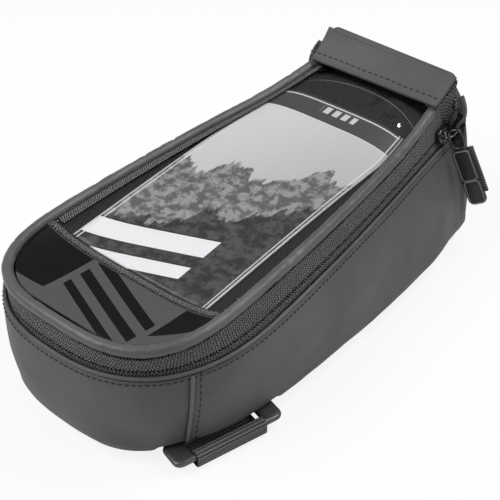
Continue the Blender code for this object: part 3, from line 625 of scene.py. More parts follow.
def thread(name, level):
    finish = Finish(name, Roughness=0.6)
    twist = (finish.axes[0] + finish.axes[1] + finish.axes[2]).ripple(0.45)
    finish.set("Base Color", finish.greys(twist, level * 0.7, level * 1.2))
    finish.bump(twist, 0.05)
    return finish.material


# Meshes


def new_object(name, data):
    made = bpy.data.objects.new(name, data)
    bpy.context.scene.collection.objects.link(made)
    return made


def new_mesh(name, points, faces, edges=()):
    mesh = bpy.data.meshes.new(name)
    mesh.from_pydata([tuple(point) for point in points], edges, faces)
    return mesh


def finish_piece(mesh, body, materials, replaced, smooth=True):
    """Makes a piece of a mesh: in the CAD's frame, with its materials, riding on its body."""
    mesh.transform(Matrix.Translation(SHIFT))
    made = new_object(mesh.name, mesh)
    for material in materials:
        mesh.materials.append(material)
    if smooth:
        mesh.shade_smooth()
    if isinstance(body, str):
        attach(made, body)
    else:
        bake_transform(made)
    if replaced:
        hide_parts(replaced)
    return made


def uv_lengths(points):
    """Length run along the points up to each of them."""
    lengths = [0.0]
    for before, after in zip(points, points[1:]):
        lengths.append(lengths[-1] + (after - before).length)
    return lengths


def grid_mesh(name, place, columns, rows, flip=False):
    """A sheet on place(u, v)."""
    points = [[place(i / columns, j / rows) for i in range(columns + 1)] for j in range(rows + 1)]
    return sheet_mesh(name, points, flip)


def sheet_mesh(name, points, flip=False):
    """A sheet on rows of points. UV is in metres: along the middle row, and across in each column."""
    rows, columns = len(points) - 1, len(points[0]) - 1
    along = uv_lengths(points[rows // 2])
    across = [uv_lengths([row[i] for row in points]) for i in range(columns + 1)]
    faces = []
    for j in range(rows):
        for i in range(columns):
            a = j * (columns + 1) + i
            corners = (a, a + 1, a + columns + 2, a + columns + 1)
            faces.append(corners[::-1] if flip else corners)
    mesh = new_mesh(name, [point for row in points for point in row], faces)
    uv = mesh.uv_layers.new(name="UVMap")
    for loop in mesh.loops:
        j, i = divmod(loop.vertex_index, columns + 1)
        uv.data[loop.index].uv = (along[i], across[i][j])
    return mesh


def thicken(made, thickness, offset=0.0, rounding=0.0, inner=0):
    """Gives a sheet its thickness, on both sides or inwards, with rounded edges and a material inside."""
    solid = made.modifiers.new("thickness", "SOLIDIFY")
    solid.thickness = thickness
    solid.offset = offset
    solid.use_even_offset = False
    solid.material_offset = inner
    if rounding:
        bevel = made.modifiers.new("edges", "BEVEL")
        bevel.width = rounding
        bevel.segments = 2
        bevel.limit_method = "ANGLE"
        bevel.angle_limit = math.radians(50)
    return made


def sheet_piece(name, place, grid, body, material, replaced, slot, thickness, rounding=0.0, flip=False):
    """A sheet on place(u, v), thickened to both sides and finished."""
    made = finish_piece(grid_mesh(name, place, *grid, flip), body, [material], replaced)
    return thicken(made, thickness, rounding=rounding)


def ring_faces(rings, count, closed=False):
    """Faces between rings of count points, each ring closed, and the last joined to the first if asked."""
    faces = []
    for ring in range(rings if closed else rings - 1):
        low, high = ring * count, (ring + 1) % rings * count
        for step in range(count):
            after = (step + 1) % count
            faces.append((low + step, low + after, high + after, high + step))
    return faces


def end_faces(rings, count):
    return [tuple(range(count))[::-1], tuple(range((rings - 1) * count, rings * count))]


def tube_mesh(name, points, radius, sides=14, closed=False, squeeze=None):
    """A tube along points; squeeze(index, angle) scales its radius. UV is in metres along and round it."""
    count = len(points)
    tangents = []
    for index in range(count):
        if closed:
            step = points[(index + 1) % count] - points[index - 1]
        else:
            step = points[min(index + 1, count - 1)] - points[max(index - 1, 0)]
        tangents.append(step.normalized())
    side = tangents[0].cross(UP)
    if side.length < 0.1:
        side = tangents[0].cross(Vector((1, 0, 0)))
    side.normalize()
    corners = []
    for index, (point, along) in enumerate(zip(points, tangents)):
        side = (side - along * side.dot(along)).normalized()
        up = along.cross(side)
        for step in range(sides):
            angle = 2 * math.pi * step / sides
            reach = radius * (squeeze(index, angle) if squeeze else 1.0)
            corners.append(point + side * reach * math.cos(angle) + up * reach * math.sin(angle))
    faces, uvs = ring_faces(count, sides, closed), []
    lengths = uv_lengths([*points, points[0]] if closed else points)
    around = 2 * math.pi * radius / sides
    for start, end in zip(lengths, lengths[1:]):
        for step in range(sides):
            low, high = step * around, (step + 1) * around
            uvs.append([(start, low), (start, high), (end, high), (end, low)])
    if not closed:
        faces += end_faces(count, sides)
        uvs += [[(0, 0)] * sides] * 2
    mesh = new_mesh(name, corners, [face[::-1] for face in faces])
    layer = mesh.uv_layers.new(name="UVMap")
    for face, places in zip(mesh.polygons, uvs):
        for offset, place in enumerate(reversed(places)):
            layer.data[face.loop_start + offset].uv = place
    return mesh


def plate_mesh(name, outline, layers, place):
    """A plate from rings of one outline, each with its height and how far it is drawn in."""
    points = []
    for height, inset in layers:
        for point in outline:
            reach = max(0.0, 1 - inset / max(point.length, 1e-6))
            points.append((point.x * reach, point.y * reach, height))
    rings, count = len(layers), len(outline)
    mesh = new_mesh(name, points, ring_faces(rings, count) + end_faces(rings, count))
    mesh.transform(place)
    return mesh


def rounded_corners(half_length, half_width, radius, steps=6):
    points = []
    for quarter, (sign_x, sign_y) in enumerate(((1, 1), (-1, 1), (-1, -1), (1, -1))):
        middle = Vector((sign_x * (half_length - radius), sign_y * (half_width - radius), 0))
        for step in range(steps + 1):
            angle = math.pi / 2 * (quarter + step / steps)
            points.append(middle + radius * Vector((math.cos(angle), math.sin(angle), 0)))
    return points


def axes_matrix(*axes):
    """Turn to a frame given by its three directions."""
    return Matrix(axes).transposed().to_4x4()


# Rows of small things, by Geometry Nodes


def add_node(tree, kind, inputs=None, **settings):
    """Adds a node, sets it, and gives its sockets values or links; returns its outputs."""
    made = tree.nodes.new(kind)
    for name, value in settings.items():
        setattr(made, name, value)
    for socket, value in (inputs or {}).items():
        if isinstance(value, bpy.types.NodeSocket):
            tree.links.new(value, made.inputs[socket])
        else:
            made.inputs[socket].default_value = value
    return made.outputs


def row_tree(name, make_item):
    """A tree that sets an item at every spacing along a line, turned to follow it."""
    tree = bpy.data.node_groups.new(name, "GeometryNodeTree")
    sizes = [(label, "Float") for label in ("Spacing", "Length", "Width")]
    for label, kind in [("Geometry", "Geometry"), *sizes, ("Material", "Material")]:
        tree.interface.new_socket(label, in_out="INPUT", socket_type="NodeSocket" + kind)
    tree.interface.new_socket("Geometry", in_out="OUTPUT", socket_type="NodeSocketGeometry")
    entry = add_node(tree, "NodeGroupInput")
    line = add_node(tree, "GeometryNodeMeshToCurve", {"Mesh": entry["Geometry"]})[0]
    inputs = {"Curve": line, "Length": entry["Spacing"]}
    spaced = add_node(tree, "GeometryNodeResampleCurve", inputs, mode="LENGTH")[0]
    tangent = add_node(tree, "GeometryNodeInputTangent")[0]
    turned = add_node(tree, "FunctionNodeAlignRotationToVector", {"Vector": tangent}, axis="Z")[0]
    inputs = {"Points": spaced, "Instance": make_item(tree, entry), "Rotation": turned}
    placed = add_node(tree, "GeometryNodeInstanceOnPoints", inputs)[0]
    real = add_node(tree, "GeometryNodeRealizeInstances", {0: placed})[0]
    smooth = add_node(tree, "GeometryNodeSetShadeSmooth", {0: real})[0]
    coloured = add_node(tree, "GeometryNodeSetMaterial", {0: smooth, "Material": entry["Material"]})[0]
    add_node(tree, "NodeGroupOutput", {0: coloured})
    return tree


def stitch_item(tree, entry):
    """A stitch: a slim bead, as long and wide as asked."""
    bead = add_node(tree, "GeometryNodeMeshUVSphere", {"Segments": 6, "Rings": 5, "Radius": 0.5})[0]
    size = {0: entry["Width"], 1: entry["Width"], 2: entry["Length"]}
    scale = add_node(tree, "ShaderNodeCombineXYZ", size)[0]
    return add_node(tree, "GeometryNodeTransform", {"Geometry": bead, "Scale": scale})[0]


def coil_item(tree, entry):
    """One turn of a zip coil: a thin ring across the line, with Width its radius and Length its wire's."""
    circle = "GeometryNodeCurvePrimitiveCircle"
    ring = add_node(tree, circle, {"Resolution": 10, "Radius": entry["Width"]})[0]
    wire = add_node(tree, circle, {"Resolution": 5, "Radius": entry["Length"]})[0]
    return add_node(tree, "GeometryNodeCurveToMesh", {"Curve": ring, "Profile Curve": wire})[0]


def along_line(name, points, tree, sizes, material, body, replaced=None):
    """Runs a tree along the points, and keeps the result as a plain mesh that rides on its body.

    The sizes are the spacing, length and width of the items.
    """
    edges = [(index, index + 1) for index in range(len(points) - 1)]
    line = new_object(name + "_line", new_mesh(name + "_line", points, [], edges))
    nodes = line.modifiers.new("row", "NODES")
    nodes.node_group = tree
    values = dict(zip(("Spacing", "Length", "Width", "Material"), (*sizes, material)))
    for item in tree.interface.items_tree:
        if item.in_out == "INPUT" and item.name in values:
            nodes[item.identifier] = values[item.name]
    bpy.context.view_layer.update()
    graph = bpy.context.evaluated_depsgraph_get()
    result = bpy.data.meshes.new_from_object(line.evaluated_get(graph))
    bpy.data.objects.remove(line)
    result.name = name
    kept = [found for found in result.materials if found]
    return finish_piece(result, body, [] if kept else [material], replaced, smooth=False)


# The bag's pieces


def strap_frame():
    """Directions across the bag and along it for the strap, and the strap's place along it."""
    turn = math.radians(-STRAP_TURN)
    across = Vector((math.cos(turn), math.sin(turn), 0))
    along = Vector((-math.sin(turn), math.cos(turn), 0))
    return across, along, Vector((0, STRAP_LINE_Y, 0)).dot(along)


def ramp(value, low, high):
    share = min(1.0, max(0.0, (value - low) / (high - low)))
    return share * share * (3 - 2 * share)


def lifted_hem(point):
    """Keeps the wall's underside above the strap and its ring, as the cloth is pushed up there."""
    across, along, line = strap_frame()
    reach, aside = point.dot(across), abs(point.dot(along) - line)
    over_strap = 1 - ramp(aside, STRAP_HALF_WIDTH + 1 * MM, STRAP_HALF_WIDTH + 4 * MM)
    over_strap *= ramp(reach, -34 * MM, -30 * MM)
    ring_start = STRAP_REACH - RING_WIDTH - 8 * MM
    over_ring = 1 - ramp(aside, RING_LENGTH / 2 + 0.6 * MM, RING_LENGTH / 2 + 5 * MM)
    over_ring *= ramp(reach, ring_start - 14 * MM, ring_start)
    floor = max(HEM_LIFT * over_strap, (RING_TOP + 0.1 * MM) * over_ring)
    return Vector((point.x, point.y, max(point.z, floor)))


def wall_outward(place, down):
    """Unit vector that leaves the outer face of the wall."""
    outward = -FOOT.inward(place)
    if down > 1:
        angle = (down - 1) * math.pi / 2
        outward = outward * math.cos(angle) - UP * math.sin(angle)
    return outward


def soft_wall(place, down):
    """Wall surface with the give of padded fabric: dips at the seam, soft swells and small puckers."""
    flat = Vector((place * 9, down * 2.2, 3.1))
    swell = noise.noise(flat * 0.8) * 0.9 + noise.noise(flat * 2.1) * 0.35
    inside = math.sin(math.pi * min(1.0, down / 2)) ** 0.5 if 0 < down < 2 else 0.0
    from_seam = abs(abs(place) - SEAM_PLACE) * SEAM_MM_PER_PLACE
    dip = math.exp(-((from_seam / DIP_WIDTH) ** 2)) * DIP_DEPTH
    pucker = noise.noise(Vector((place * 60, down * 3, 7))) * math.exp(-down * 9) * 0.25
    point = wall_point(place, down) + wall_outward(place, down) * ((swell - dip + pucker) * inside * MM)
    point.z = max(point.z, LOWEST)
    return lifted_hem(point)


def make_walls(cloth, lining):
    """Padded walls with a lining: nose, both sides and stem end."""
    def wall(name, place, columns, rows, replaced):
        mesh = grid_mesh(name, place, columns, rows, True)
        made = finish_piece(mesh, "bag", [cloth, lining], replaced)
        thicken(made, WALL_THICKNESS, -1.0, inner=1)

    def nose(u, v):
        return soft_wall((2 * u - 1) * (SEAM_PLACE - SEAM_GAP), 2 * v)

    wall("nose_cover", nose, 110, 44, "nose_panel")
    first = SEAM_PLACE + SEAM_GAP
    for side, sign in (("right", 1), ("left", -1)):
        def place(u, v, sign=sign):
            share = u if sign > 0 else 1 - u
            return soft_wall(sign * (first + (2.0 - first) * share), 2 * v)

        wall("side_cover_" + side, place, 170, 44, "side_panel_" + side)

    def end(u, v):
        edge = wall_point(2.0, 2 * v)
        swell = noise.noise(Vector((u * 3, v * 4, 1.7))) * 0.5 * MM
        swell = swell * math.sin(math.pi * u) * math.sin(math.pi * v)
        return Vector(((edge.x - 0.5 * MM) * (1 - 2 * u), edge.y + swell, max(LOWEST, edge.z)))

    wall("end_cover", end, 30, 36, "end_panel")


def make_base(cloth):
    """Cloth panel that closes the bottom, sewn to the walls' hems."""
    share = 1 - BASE_OVERLAP / HEM_INSET

    def place(u, v):
        at = 0.012 + 1.888 * v
        right = FOOT.at(at).lerp(HEM.at(at), share)
        left = FOOT.at(-at).lerp(HEM.at(-at), share)
        point = left.lerp(right, u)
        sag = 0.12 * MM * noise.noise(Vector((u * 4, v * 7, 2)))
        return Vector((point.x, point.y, BASE_BOTTOM + BASE_THICKNESS / 2 + sag))

    made = sheet_piece("base_cover", place, (40, 110), "bag", cloth, "base_panel", "base", BASE_THICKNESS)


def make_seams(cloth_edge, stitch, stitches):
    """Flat piping down both seams of the nose, with a row of stitches beside it."""
    for side, sign in (("right", 1), ("left", -1)):
        points, row = [], []
        for step in range(61):
            down = SEAM_REACH * step / 60
            outward = wall_outward(sign * SEAM_PLACE, down)
            point = wall_point(sign * SEAM_PLACE, down) + outward * 0.35 * MM
            if point.z < RING_TOP + 0.7 * MM:
                break
            points.append(point)
            row.append(soft_wall(sign * (SEAM_PLACE + SEAM_STITCHES_ASIDE), down) + outward * 0.1 * MM)
        name = "seam_cover_" + side
        mesh = tube_mesh(
            name, points, 0.85 * MM, squeeze=lambda index, angle: 0.62 + 0.55 * math.cos(angle) ** 2,
        )
        finish_piece(mesh, "bag", [cloth_edge], "seam_piping_" + side)
        along_line("seam_stitches_" + side, row, stitches, SEAM_STITCH, stitch, "bag")


def make_rim(binding, stitch, stitches):
    """Folded edge along the top of the walls, with the stitches under it."""
    points, line = [], []
    for step in range(337):
        place = RIM_END * (step / 168 - 1)
        lift = edge_up(place) * (RIM_RADIUS + CLEARANCE * (1 + 2 * corner_share(place)))
        points.append(wall_point(place, 0.0) + FOOT.inward(place) * RIM_RADIUS + lift)
    mesh = tube_mesh(
        "rim_cover", points, 0.75 * MM, 10, squeeze=lambda index, angle: 1 + 0.06 * math.sin(index * 1.9),
    )
    finish_piece(mesh, "bag", [binding], "rim_binding")
    for step in range(241):
        place = STOP_AT * (step / 120 - 1)
        line.append(soft_wall(place, 0.04) - FOOT.inward(place) * 0.12 * MM)
    along_line("rim_stitches", line, stitches, RIM_STITCH, stitch, "bag")


def flap_across(side, share):
    """Place across the flap: side -1 to 1 between its ends, share 0 at the ridge to 1 at its near edge."""
    half = RIDGE_HALF_WIDTH + FLAP_WIDEN * (1 - share) + FLAP_SPREAD * share
    return side * half + RIDGE_SHIFT * (1 - share) + FLAP_SHIFT * share


def flap_slope(share):
    """Height of the flap at a share of the way from the ridge to its near edge."""
    return RIDGE_Z + (FLAP_EDGE_Z - RIDGE_Z) * share - FLAP_SAG * math.sin(math.pi * share)


def flap_side(place):
    """Point on the side edge of the stem flap that the tape is sewn to, for a place past the side's end."""
    share = min(1.0, max(0.0, (TAPE_END - abs(place)) / (TAPE_END - FLAP_SEWN_FROM)))
    side = math.copysign(1.0, place)
    y = RIDGE_Y - 0.5 * MM + (FLAP_EDGE_Y - RIDGE_Y + 0.5 * MM) * share
    z = flap_slope(share) - 1.8 * MM - RIDGE_TILT * side * (1 - share) ** 2
    return Vector((flap_across(side, share) - side * CLEARANCE, y, z))


def band_frame(place):
    """Point on the zip line, and the directions across the band and along it."""
    inner, middle, outer = band_points(place)
    along = band_points(place + PLACE_STEP)[1] - band_points(place - PLACE_STEP)[1]
    return middle, (outer - inner).normalized(), along.normalized()


def make_band(tape, coil, coils):
    """Both zip tapes, with the coils under them."""
    def upper(u, v):
        place = (2 * u - 1) * TAPE_TOP
        inner, middle, outer = band_points(place)
        inner = inner.lerp(flap_side(place), ramp(abs(place), 0.90, 0.99))
        sag = math.sin(math.pi * v) * 0.35 * MM + noise.noise(Vector((place * 14, v, 2))) * 0.2 * MM
        span = (outer - inner).normalized()
        return (middle - span * ZIP_HALF_GAP).lerp(inner, v) - UP * sag

    def lower(u, v):
        inner, middle, outer = band_points((2 * u - 1) * TAPE_TOP)
        return (middle + (outer - inner).normalized() * ZIP_HALF_GAP).lerp(outer, v)

    sheet_piece("upper_tape_cover", upper, (420, 8), "lid", tape, "upper_zip_tape", "tape", TAPE)
    sheet_piece("lower_tape_cover", lower, (420, 4), "bag", tape, "lower_zip_tape", "tape", TAPE, flip=True)
    for label, sign, body in (("upper", -1, "lid"), ("lower", 1, "bag")):
        points = []
        for step in range(401):
            middle, span, along = band_frame(COIL_END * (step / 200 - 1))
            below = -span.cross(along).normalized()
            points.append(middle + span * sign * COIL_OFFSET + below * (TAPE / 2 + COIL_OFFSET))
        along_line(label + "_coil_turns", points, coils, COIL_TURN, coil, body, label + "_zip_coil")


def make_stops(metal):
    """Small clamped stops at both ends of the zip."""
    width, length, thick = STOP_SIZE
    outline = rounded_corners(width / 2, length / 2, 0.6 * MM)
    layers = [(-thick / 2, 0.25 * MM), (-thick / 4, 0.0), (thick / 5, 0.0), (thick / 2, 0.3 * MM)]
    for name, sign in (("zip_top_stop", 1), ("zip_bottom_stop", -1)):
        middle, span, along = band_frame(sign * STOP_AT)
        normal = span.cross(along).normalized()
        if normal.z < 0:
            normal = -normal
        at = middle + normal * (TAPE / 2 + STOP_LIFT) + span * STOP_SHIFT
        place = Matrix.Translation(at) @ axes_matrix(span, normal.cross(span), normal)
        finish_piece(plate_mesh(name + "_cover", outline, layers, place), "bag", [metal], name)


def make_piping(cloth):
    """Round piping of the lid, with the small creases of cloth bent round a cord."""
    points = [LID.at(2 * step / 520 - 1) for step in range(521)]

    def crease(index, angle):
        place = Vector((index * 0.11, math.cos(angle) * 0.8, math.sin(angle) * 0.8))
        fold = noise.noise(place * 1.6) * 0.07
        pinch = max(0.0, noise.noise(Vector((index * 0.35, 4.0, math.cos(angle))))) ** 2 * 0.35
        return 1.03 + fold + noise.noise(place * 4.0) * 0.03 - pinch

    mesh = tube_mesh("piping_cover", points, PIPING_RADIUS, 20, squeeze=crease)
    finish_piece(mesh, "lid", [cloth], "lid_piping")


def lid_sheet(first_y, last_y, drop, margin=0.0, widest=1.0, bow=0.0, wave=0.0):
    """Surface of a sheet in the lid's opening: below the film, short of the piping, bowed, or wavy."""
    def place(u, v):
        across = 2 * u - 1
        y = first_y + (last_y - first_y) * v
        half = min(widest, inside_width(y) - margin)
        y = y + bow * (1 - across * across) * v
        z = pocket_height(across * half / inside_width(y), y) - drop
        if wave:
            calm = (1 - across**4) * math.sin(math.pi * v)
            z += wave * calm * noise.noise(Vector((across * 1.7, y * 28, 5.0)))
            from_crease = math.hypot(across * half - CREASE_AT[0], y - CREASE_AT[1]) / CREASE_REACH
            crease = noise.noise(Vector((across * 4.0 + y * 50, y * 115 - across * 2.6, 1.3))) + 0.4
            z += CREASE_HEIGHT * crease * math.exp(-from_crease**2) * min(1.0, calm * 4)
        return Vector((across * half, y, z))
    return place


def make_lid(front, film, card, mesh_cloth, binding, tape, stitch, stitches):
    """Front panel, clear window with its card, the pocket's cloths, and the strips sewn beside the window."""
    def front_place(u, v):
        across = 2 * u - 1
        y = FRONT_START_Y + (STITCH_LINE_Y - CLEARANCE / 2 - FRONT_START_Y) * v
        share = (y - FRONT_START_Y) / (STITCH_LINE_Y - FRONT_START_Y)
        edge = LID.on_side(y)[1]
        blend = abs(across) ** 4
        plane = edge * (1 - share) + (POCKET_Z + POCKET_RISE * y) * share
        return Vector((across * (inside_width(y) + 0.3 * MM), y, plane * (1 - blend) + edge * blend))

    def sheet(name, place, grid, material, replaced, slot, thickness, rounding=0.0):
        return sheet_piece(name, place, grid, "lid", material, replaced, slot, thickness, rounding)

    start = STITCH_LINE_Y + CLEARANCE / 2
    made = sheet("front_cover", front_place, (60, 36), front, "lid_front_panel", "lid_fabric", POCKET_CLOTH)
    place = lid_sheet(start, WINDOW_END_Y, 0.0, wave=0.5 * MM)
    made = sheet("window_film", place, (90, 160), film, "clear_window", "clear_film", 0.3 * MM)
    place = lid_sheet(CARD_START_Y, CARD_END_Y, CARD_DROP, 0.8 * MM, CARD_HALF_WIDTH)
    sheet("card_insert", place, (30, 60), card, "display_card", "card", 0.5 * MM)
    place = lid_sheet(start, POCKET_MOUTH_Y, BACKING_DROP, -SEWN_UNDER, bow=POCKET_MOUTH_BOW)
    made = sheet("pocket_cloth", place, (40, 90), mesh_cloth, "pocket_backing", "mesh", POCKET_CLOTH)
    place = lid_sheet(POCKET_MOUTH_Y - MOUTH_OVERLAP, WINDOW_END_Y, MOUTH_DROP, -SEWN_UNDER)
    made = sheet("mouth_cloth", place, (40, 20), mesh_cloth, "mouth_panel", "mesh", POCKET_CLOTH)
    backing = lid_sheet(start, POCKET_MOUTH_Y, BACKING_DROP, bow=POCKET_MOUTH_BOW)
    edge = [backing(step / 60, 1.0) + Vector((0, 0.6 * MM, 0)) for step in range(61)]
    finish_piece(tube_mesh("pocket_edge", edge, 0.7 * MM, 10), "lid", [binding], "pocket_binding")

    def window_strip(u, v):
        lift = 0.85 * MM + 0.1 * MM * noise.noise(Vector((u * 40, v * 3, 6)))
        return front_place(0.012 + 0.976 * u, 0.925 + 0.075 * v) + Vector((0, 0.3 * MM * v, lift))

    def side_strip(u, v):
        y = CARD_START_Y + (FLAP_EDGE_Y - CARD_START_Y) * u
        half = inside_width(y) - 0.2 * MM - SIDE_STRIP * v
        z = pocket_height(-half / inside_width(y), y) + 0.45 * MM
        return Vector((-half, y, z + 0.12 * MM * noise.noise(Vector((u * 60, v * 2, 3)))))

    sheet("side_strip", side_strip, (140, 5), tape, None, "lid_fabric", 0.35 * MM, 0.1 * MM)
    sheet("window_strip", window_strip, (120, 6), tape, None, "lid_fabric", 0.4 * MM, 0.1 * MM)
    row = [front_place(step / 80, 0.97) + Vector((0, 0, 1.15 * MM)) for step in range(3, 78)]
    along_line("window_stitches", row, stitches, WINDOW_STITCH, stitch, "lid")


def make_flap(cloth, stitch, stitches):
    """Sloping flap at the stem end, folded at its near edge, and the fold over the ridge."""
    inner_radius = FOLD_RADIUS - FLAP_THICKNESS / 2 - 0.05 * MM

    def place(u, v):
        side = 2 * u - 1
        v = FLAP_START + (1 - FLAP_START) * v
        if v < FLAP_BEND:
            angle = math.radians(FLAP_BEND_ANGLE - 50 * (1 - v / FLAP_BEND))
            y = FOLD_CENTRE_Y + inner_radius * math.cos(angle)
            z = FOLD_CENTRE_Z + inner_radius * math.sin(angle)
        else:
            y = RIDGE_Y + (FLAP_EDGE_Y - RIDGE_Y) * v
            z = flap_slope(v) + RIDGE_LIFT * (1 - v) ** 2
            z += 0.4 * MM * noise.noise(Vector((u * 5, v * 2, 8))) * math.sin(math.pi * (v - FLAP_BEND))
        return Vector((flap_across(side, v), y, z - RIDGE_TILT * side * (1 - v) ** 2))

    made = sheet_piece(
        "flap_cover", place, (60, 24), "lid", cloth, "stem_flap", "wall", FLAP_THICKNESS, 0.5 * MM,
    )
    lip = [place(step / 60, 1.0) + Vector((0, -0.2, -0.1)) * MM for step in range(61)]
    finish_piece(tube_mesh("flap_fold", lip, 1.0 * MM, 12), "lid", [cloth], None)
    normal = Vector((0, FLAP_EDGE_Z - RIDGE_Z, RIDGE_Y - FLAP_EDGE_Y)).normalized()
    row = [place(step / 60, 0.8) + normal * (FLAP_THICKNESS / 2 + 0.1 * MM) for step in range(2, 59)]
    along_line("flap_stitches", row, stitches, FLAP_STITCH, stitch, "lid")

    def ridge(u, v):
        """Fold round the ridge, from the end wall over to the flap, rounded off at both ends."""
        side = 2 * u - 1
        round_off = max(0.0, (abs(side) - 0.9) / 0.1)
        drawn_down = (1 - math.sqrt(max(0.0, 1 - round_off**2))) * 2.4 * MM
        centre_z = FOLD_CENTRE_Z - RIDGE_TILT * side - drawn_down
        radius = FOLD_RADIUS * (1 - 0.25 * round_off**2)
        across = flap_across(0.97 * side, 0.0)
        if v < RIDGE_UPRIGHT:
            foot = RIDGE_Z - 6 * MM
            return Vector((across, FOLD_CENTRE_Y + radius, foot + (centre_z - foot) * v / RIDGE_UPRIGHT))
        angle = (v - RIDGE_UPRIGHT) / (1 - RIDGE_UPRIGHT) * math.radians(FLAP_BEND_ANGLE)
        return Vector((across, FOLD_CENTRE_Y + radius * math.cos(angle), centre_z + radius * math.sin(angle)))

    start = HINGE + Vector((0, 1.5 * MM, -2.0 * MM))
    end = HINGE + Vector((0, -2.0 * MM, 0.5 * MM))
    mesh = grid_mesh("ridge_fold", ridge, 60, 40, True)
    thicken(finish_piece(mesh, ("bag", "lid", start, end), [cloth], None), 0.7 * MM, -1.0)


def make_straps(webbing, ring_paint):
    """Base strap through its ring at the foot of the nose, and the webbing tab that holds the ring."""
    across, along, line = strap_frame()
    half_layer, high_z, wrap = STRAP_THICKNESS / 2, STRAP_HIGH_Z, RING_WRAP
    outer_bar = STRAP_REACH - half_layer - wrap
    inner_bar = outer_bar - RING_WIDTH + RING_BAR

    def spot(reach, z):
        return across * reach + along * line + UP * z

    def arc(reach, z, radius, start, end, steps):
        angles = [math.radians(start + (end - start) * step / steps) for step in range(steps + 1)]
        centre = spot(reach, z)
        return [
            centre + across * radius * math.cos(angle) + UP * radius * math.sin(angle)
            for angle in angles
        ]

    def strip(name, path, replaced, rests_on):
        fine = []
        for before, after in zip(path, path[1:]):
            pieces = max(1, int((after - before).length / (1.0 * MM)))
            fine += [before.lerp(after, step / pieces) for step in range(pieces)]
        fine.append(path[-1])
        offsets = [along * STRAP_HALF_WIDTH * (2 * row / 14 - 1) for row in range(15)]
        mesh = sheet_mesh(name, [[point + offset for point in fine] for offset in offsets])
        made = finish_piece(mesh, "bag", [webbing], replaced)
        thicken(made, STRAP_THICKNESS, rounding=0.25 * MM)
        length = uv_lengths(fine)[-1]
        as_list(rests_on)

    slot_line = outer_bar - wrap
    path = [spot(STRAP_LEFT_END, high_z), spot(0, high_z), spot(slot_line - 3 * MM, high_z)]
    path += arc(slot_line - 1.5 * MM, high_z + 1.5 * MM, 1.5 * MM, -90, 0, 6)
    path += arc(outer_bar, RING_Z, wrap, 180, 0, 16)
    path += arc(outer_bar + wrap - 2.2 * MM, half_layer + 2.2 * MM, 2.2 * MM, 0, -90, 8)
    path += [spot(20 * MM, half_layer), spot(STRAP_LEFT_END + 8 * MM, half_layer)]
    strip("foot_strap", path, "base_strap", ["ring_cover", "base_cover"])
    tail_z = RING_Z - wrap
    tab = [spot(inner_bar - TAB_TAIL, tail_z), spot(inner_bar - TAB_TAIL / 2, tail_z)]
    tab += arc(inner_bar, RING_Z, wrap, -90, 180, 20)
    tab += [spot(inner_bar - wrap, tail_z + STRAP_THICKNESS + CLEARANCE)]
    strip("ring_loop", tab, "ring_tab", ["ring_cover", "foot_strap"])
    mesh = ring_mesh("ring_cover")
    turn = Matrix.Rotation(math.radians(-STRAP_TURN), 4, "Z")
    mesh.transform(Matrix.Translation(spot((outer_bar + inner_bar) / 2, RING_Z)) @ turn)
    finish_piece(mesh, "bag", [ring_paint], "strap_ring")


def ring_mesh(name):
    """A flat ring with a slot: rounded in section, with wider ends than sides."""
    outer = rounded_corners(RING_WIDTH / 2, RING_LENGTH / 2, RING_CORNER, 8)
    inner = rounded_corners(RING_WIDTH / 2 - RING_BAR, RING_LENGTH / 2 - RING_END, 1.6 * MM, 8)
    rings, points = 16, []
    for section in range(rings):
        angle = 2 * math.pi * section / rings
        share = 0.5 + 0.5 * rounded_wave(math.cos(angle))
        height = RING_BAR / 2 * rounded_wave(math.sin(angle))
        points += [(*near.lerp(far, share).xy, height) for near, far in zip(inner, outer)]
    return new_mesh(name, points, ring_faces(rings, len(outer), True))


def rounded_wave(value):
    """Pushes a sine or cosine towards -1 and 1, which turns a circle into a rounded square."""
    return math.copysign(abs(value) ** 0.6, value)


def make_stem_straps(webbing):
    """Webbing keeper on the end wall, with the strap that runs behind it."""
    face = END_WALL_Y + WALL_BULGE + CLEARANCE + STRAP_THICKNESS / 2
    bow = STRAP_THICKNESS + 2 * CLEARANCE

    def keeper(u, v):
        away = bow * ramp(min(u, 1 - u), 0.02, 0.24)
        return Vector(((1 - 2 * u) * KEEPER_WIDTH / 2, face + away, KEEPER_Z + (v - 0.5) * KEEPER_HEIGHT))

    def strap(u, v):
        wave = 0.12 * MM * math.sin(u * 9)
        z = KEEPER_Z + STEM_STRAP_LENGTH * (0.4 - u)
        return Vector(((2 * v - 1) * STEM_STRAP_WIDTH / 2, face + wave, z))

    shared = ("webbing", STRAP_THICKNESS, 0.2 * MM)
    made = sheet_piece("keeper_cover", keeper, (40, 12), "bag", webbing, "stem_keeper", *shared)
    made = sheet_piece("stem_strap_cover", strap, (50, 12), "bag", webbing, "stem_strap", *shared)


def slider_frame():
    """Frame of the zip slider: across the zip, along it and out from it."""
    def zip_place(y):
        straight = LID_END_Y - LID_NOSE_Y - LID_NOSE_LENGTH
        return band_points(NOSE_SHARE + (1 - NOSE_SHARE) * (y - LID_NOSE_Y - LID_NOSE_LENGTH) / straight)

    here, ahead = zip_place(SLIDER_Y), zip_place(SLIDER_Y - SLIDER_TRAVEL)
    along = (here[1] - ahead[1]).normalized()
    outward = along.cross((here[2] - here[0]).normalized()).normalized()
    if outward.z < 0:
        outward = -outward
    across = along.cross(outward).normalized()
    base = here[1] + (here[0] - here[1]).normalized() * SLIDER_SHIFT + outward * (SLIDER_CLEARANCE + TAPE / 2)
    return Matrix.Translation(base) @ axes_matrix(across, along, outward)


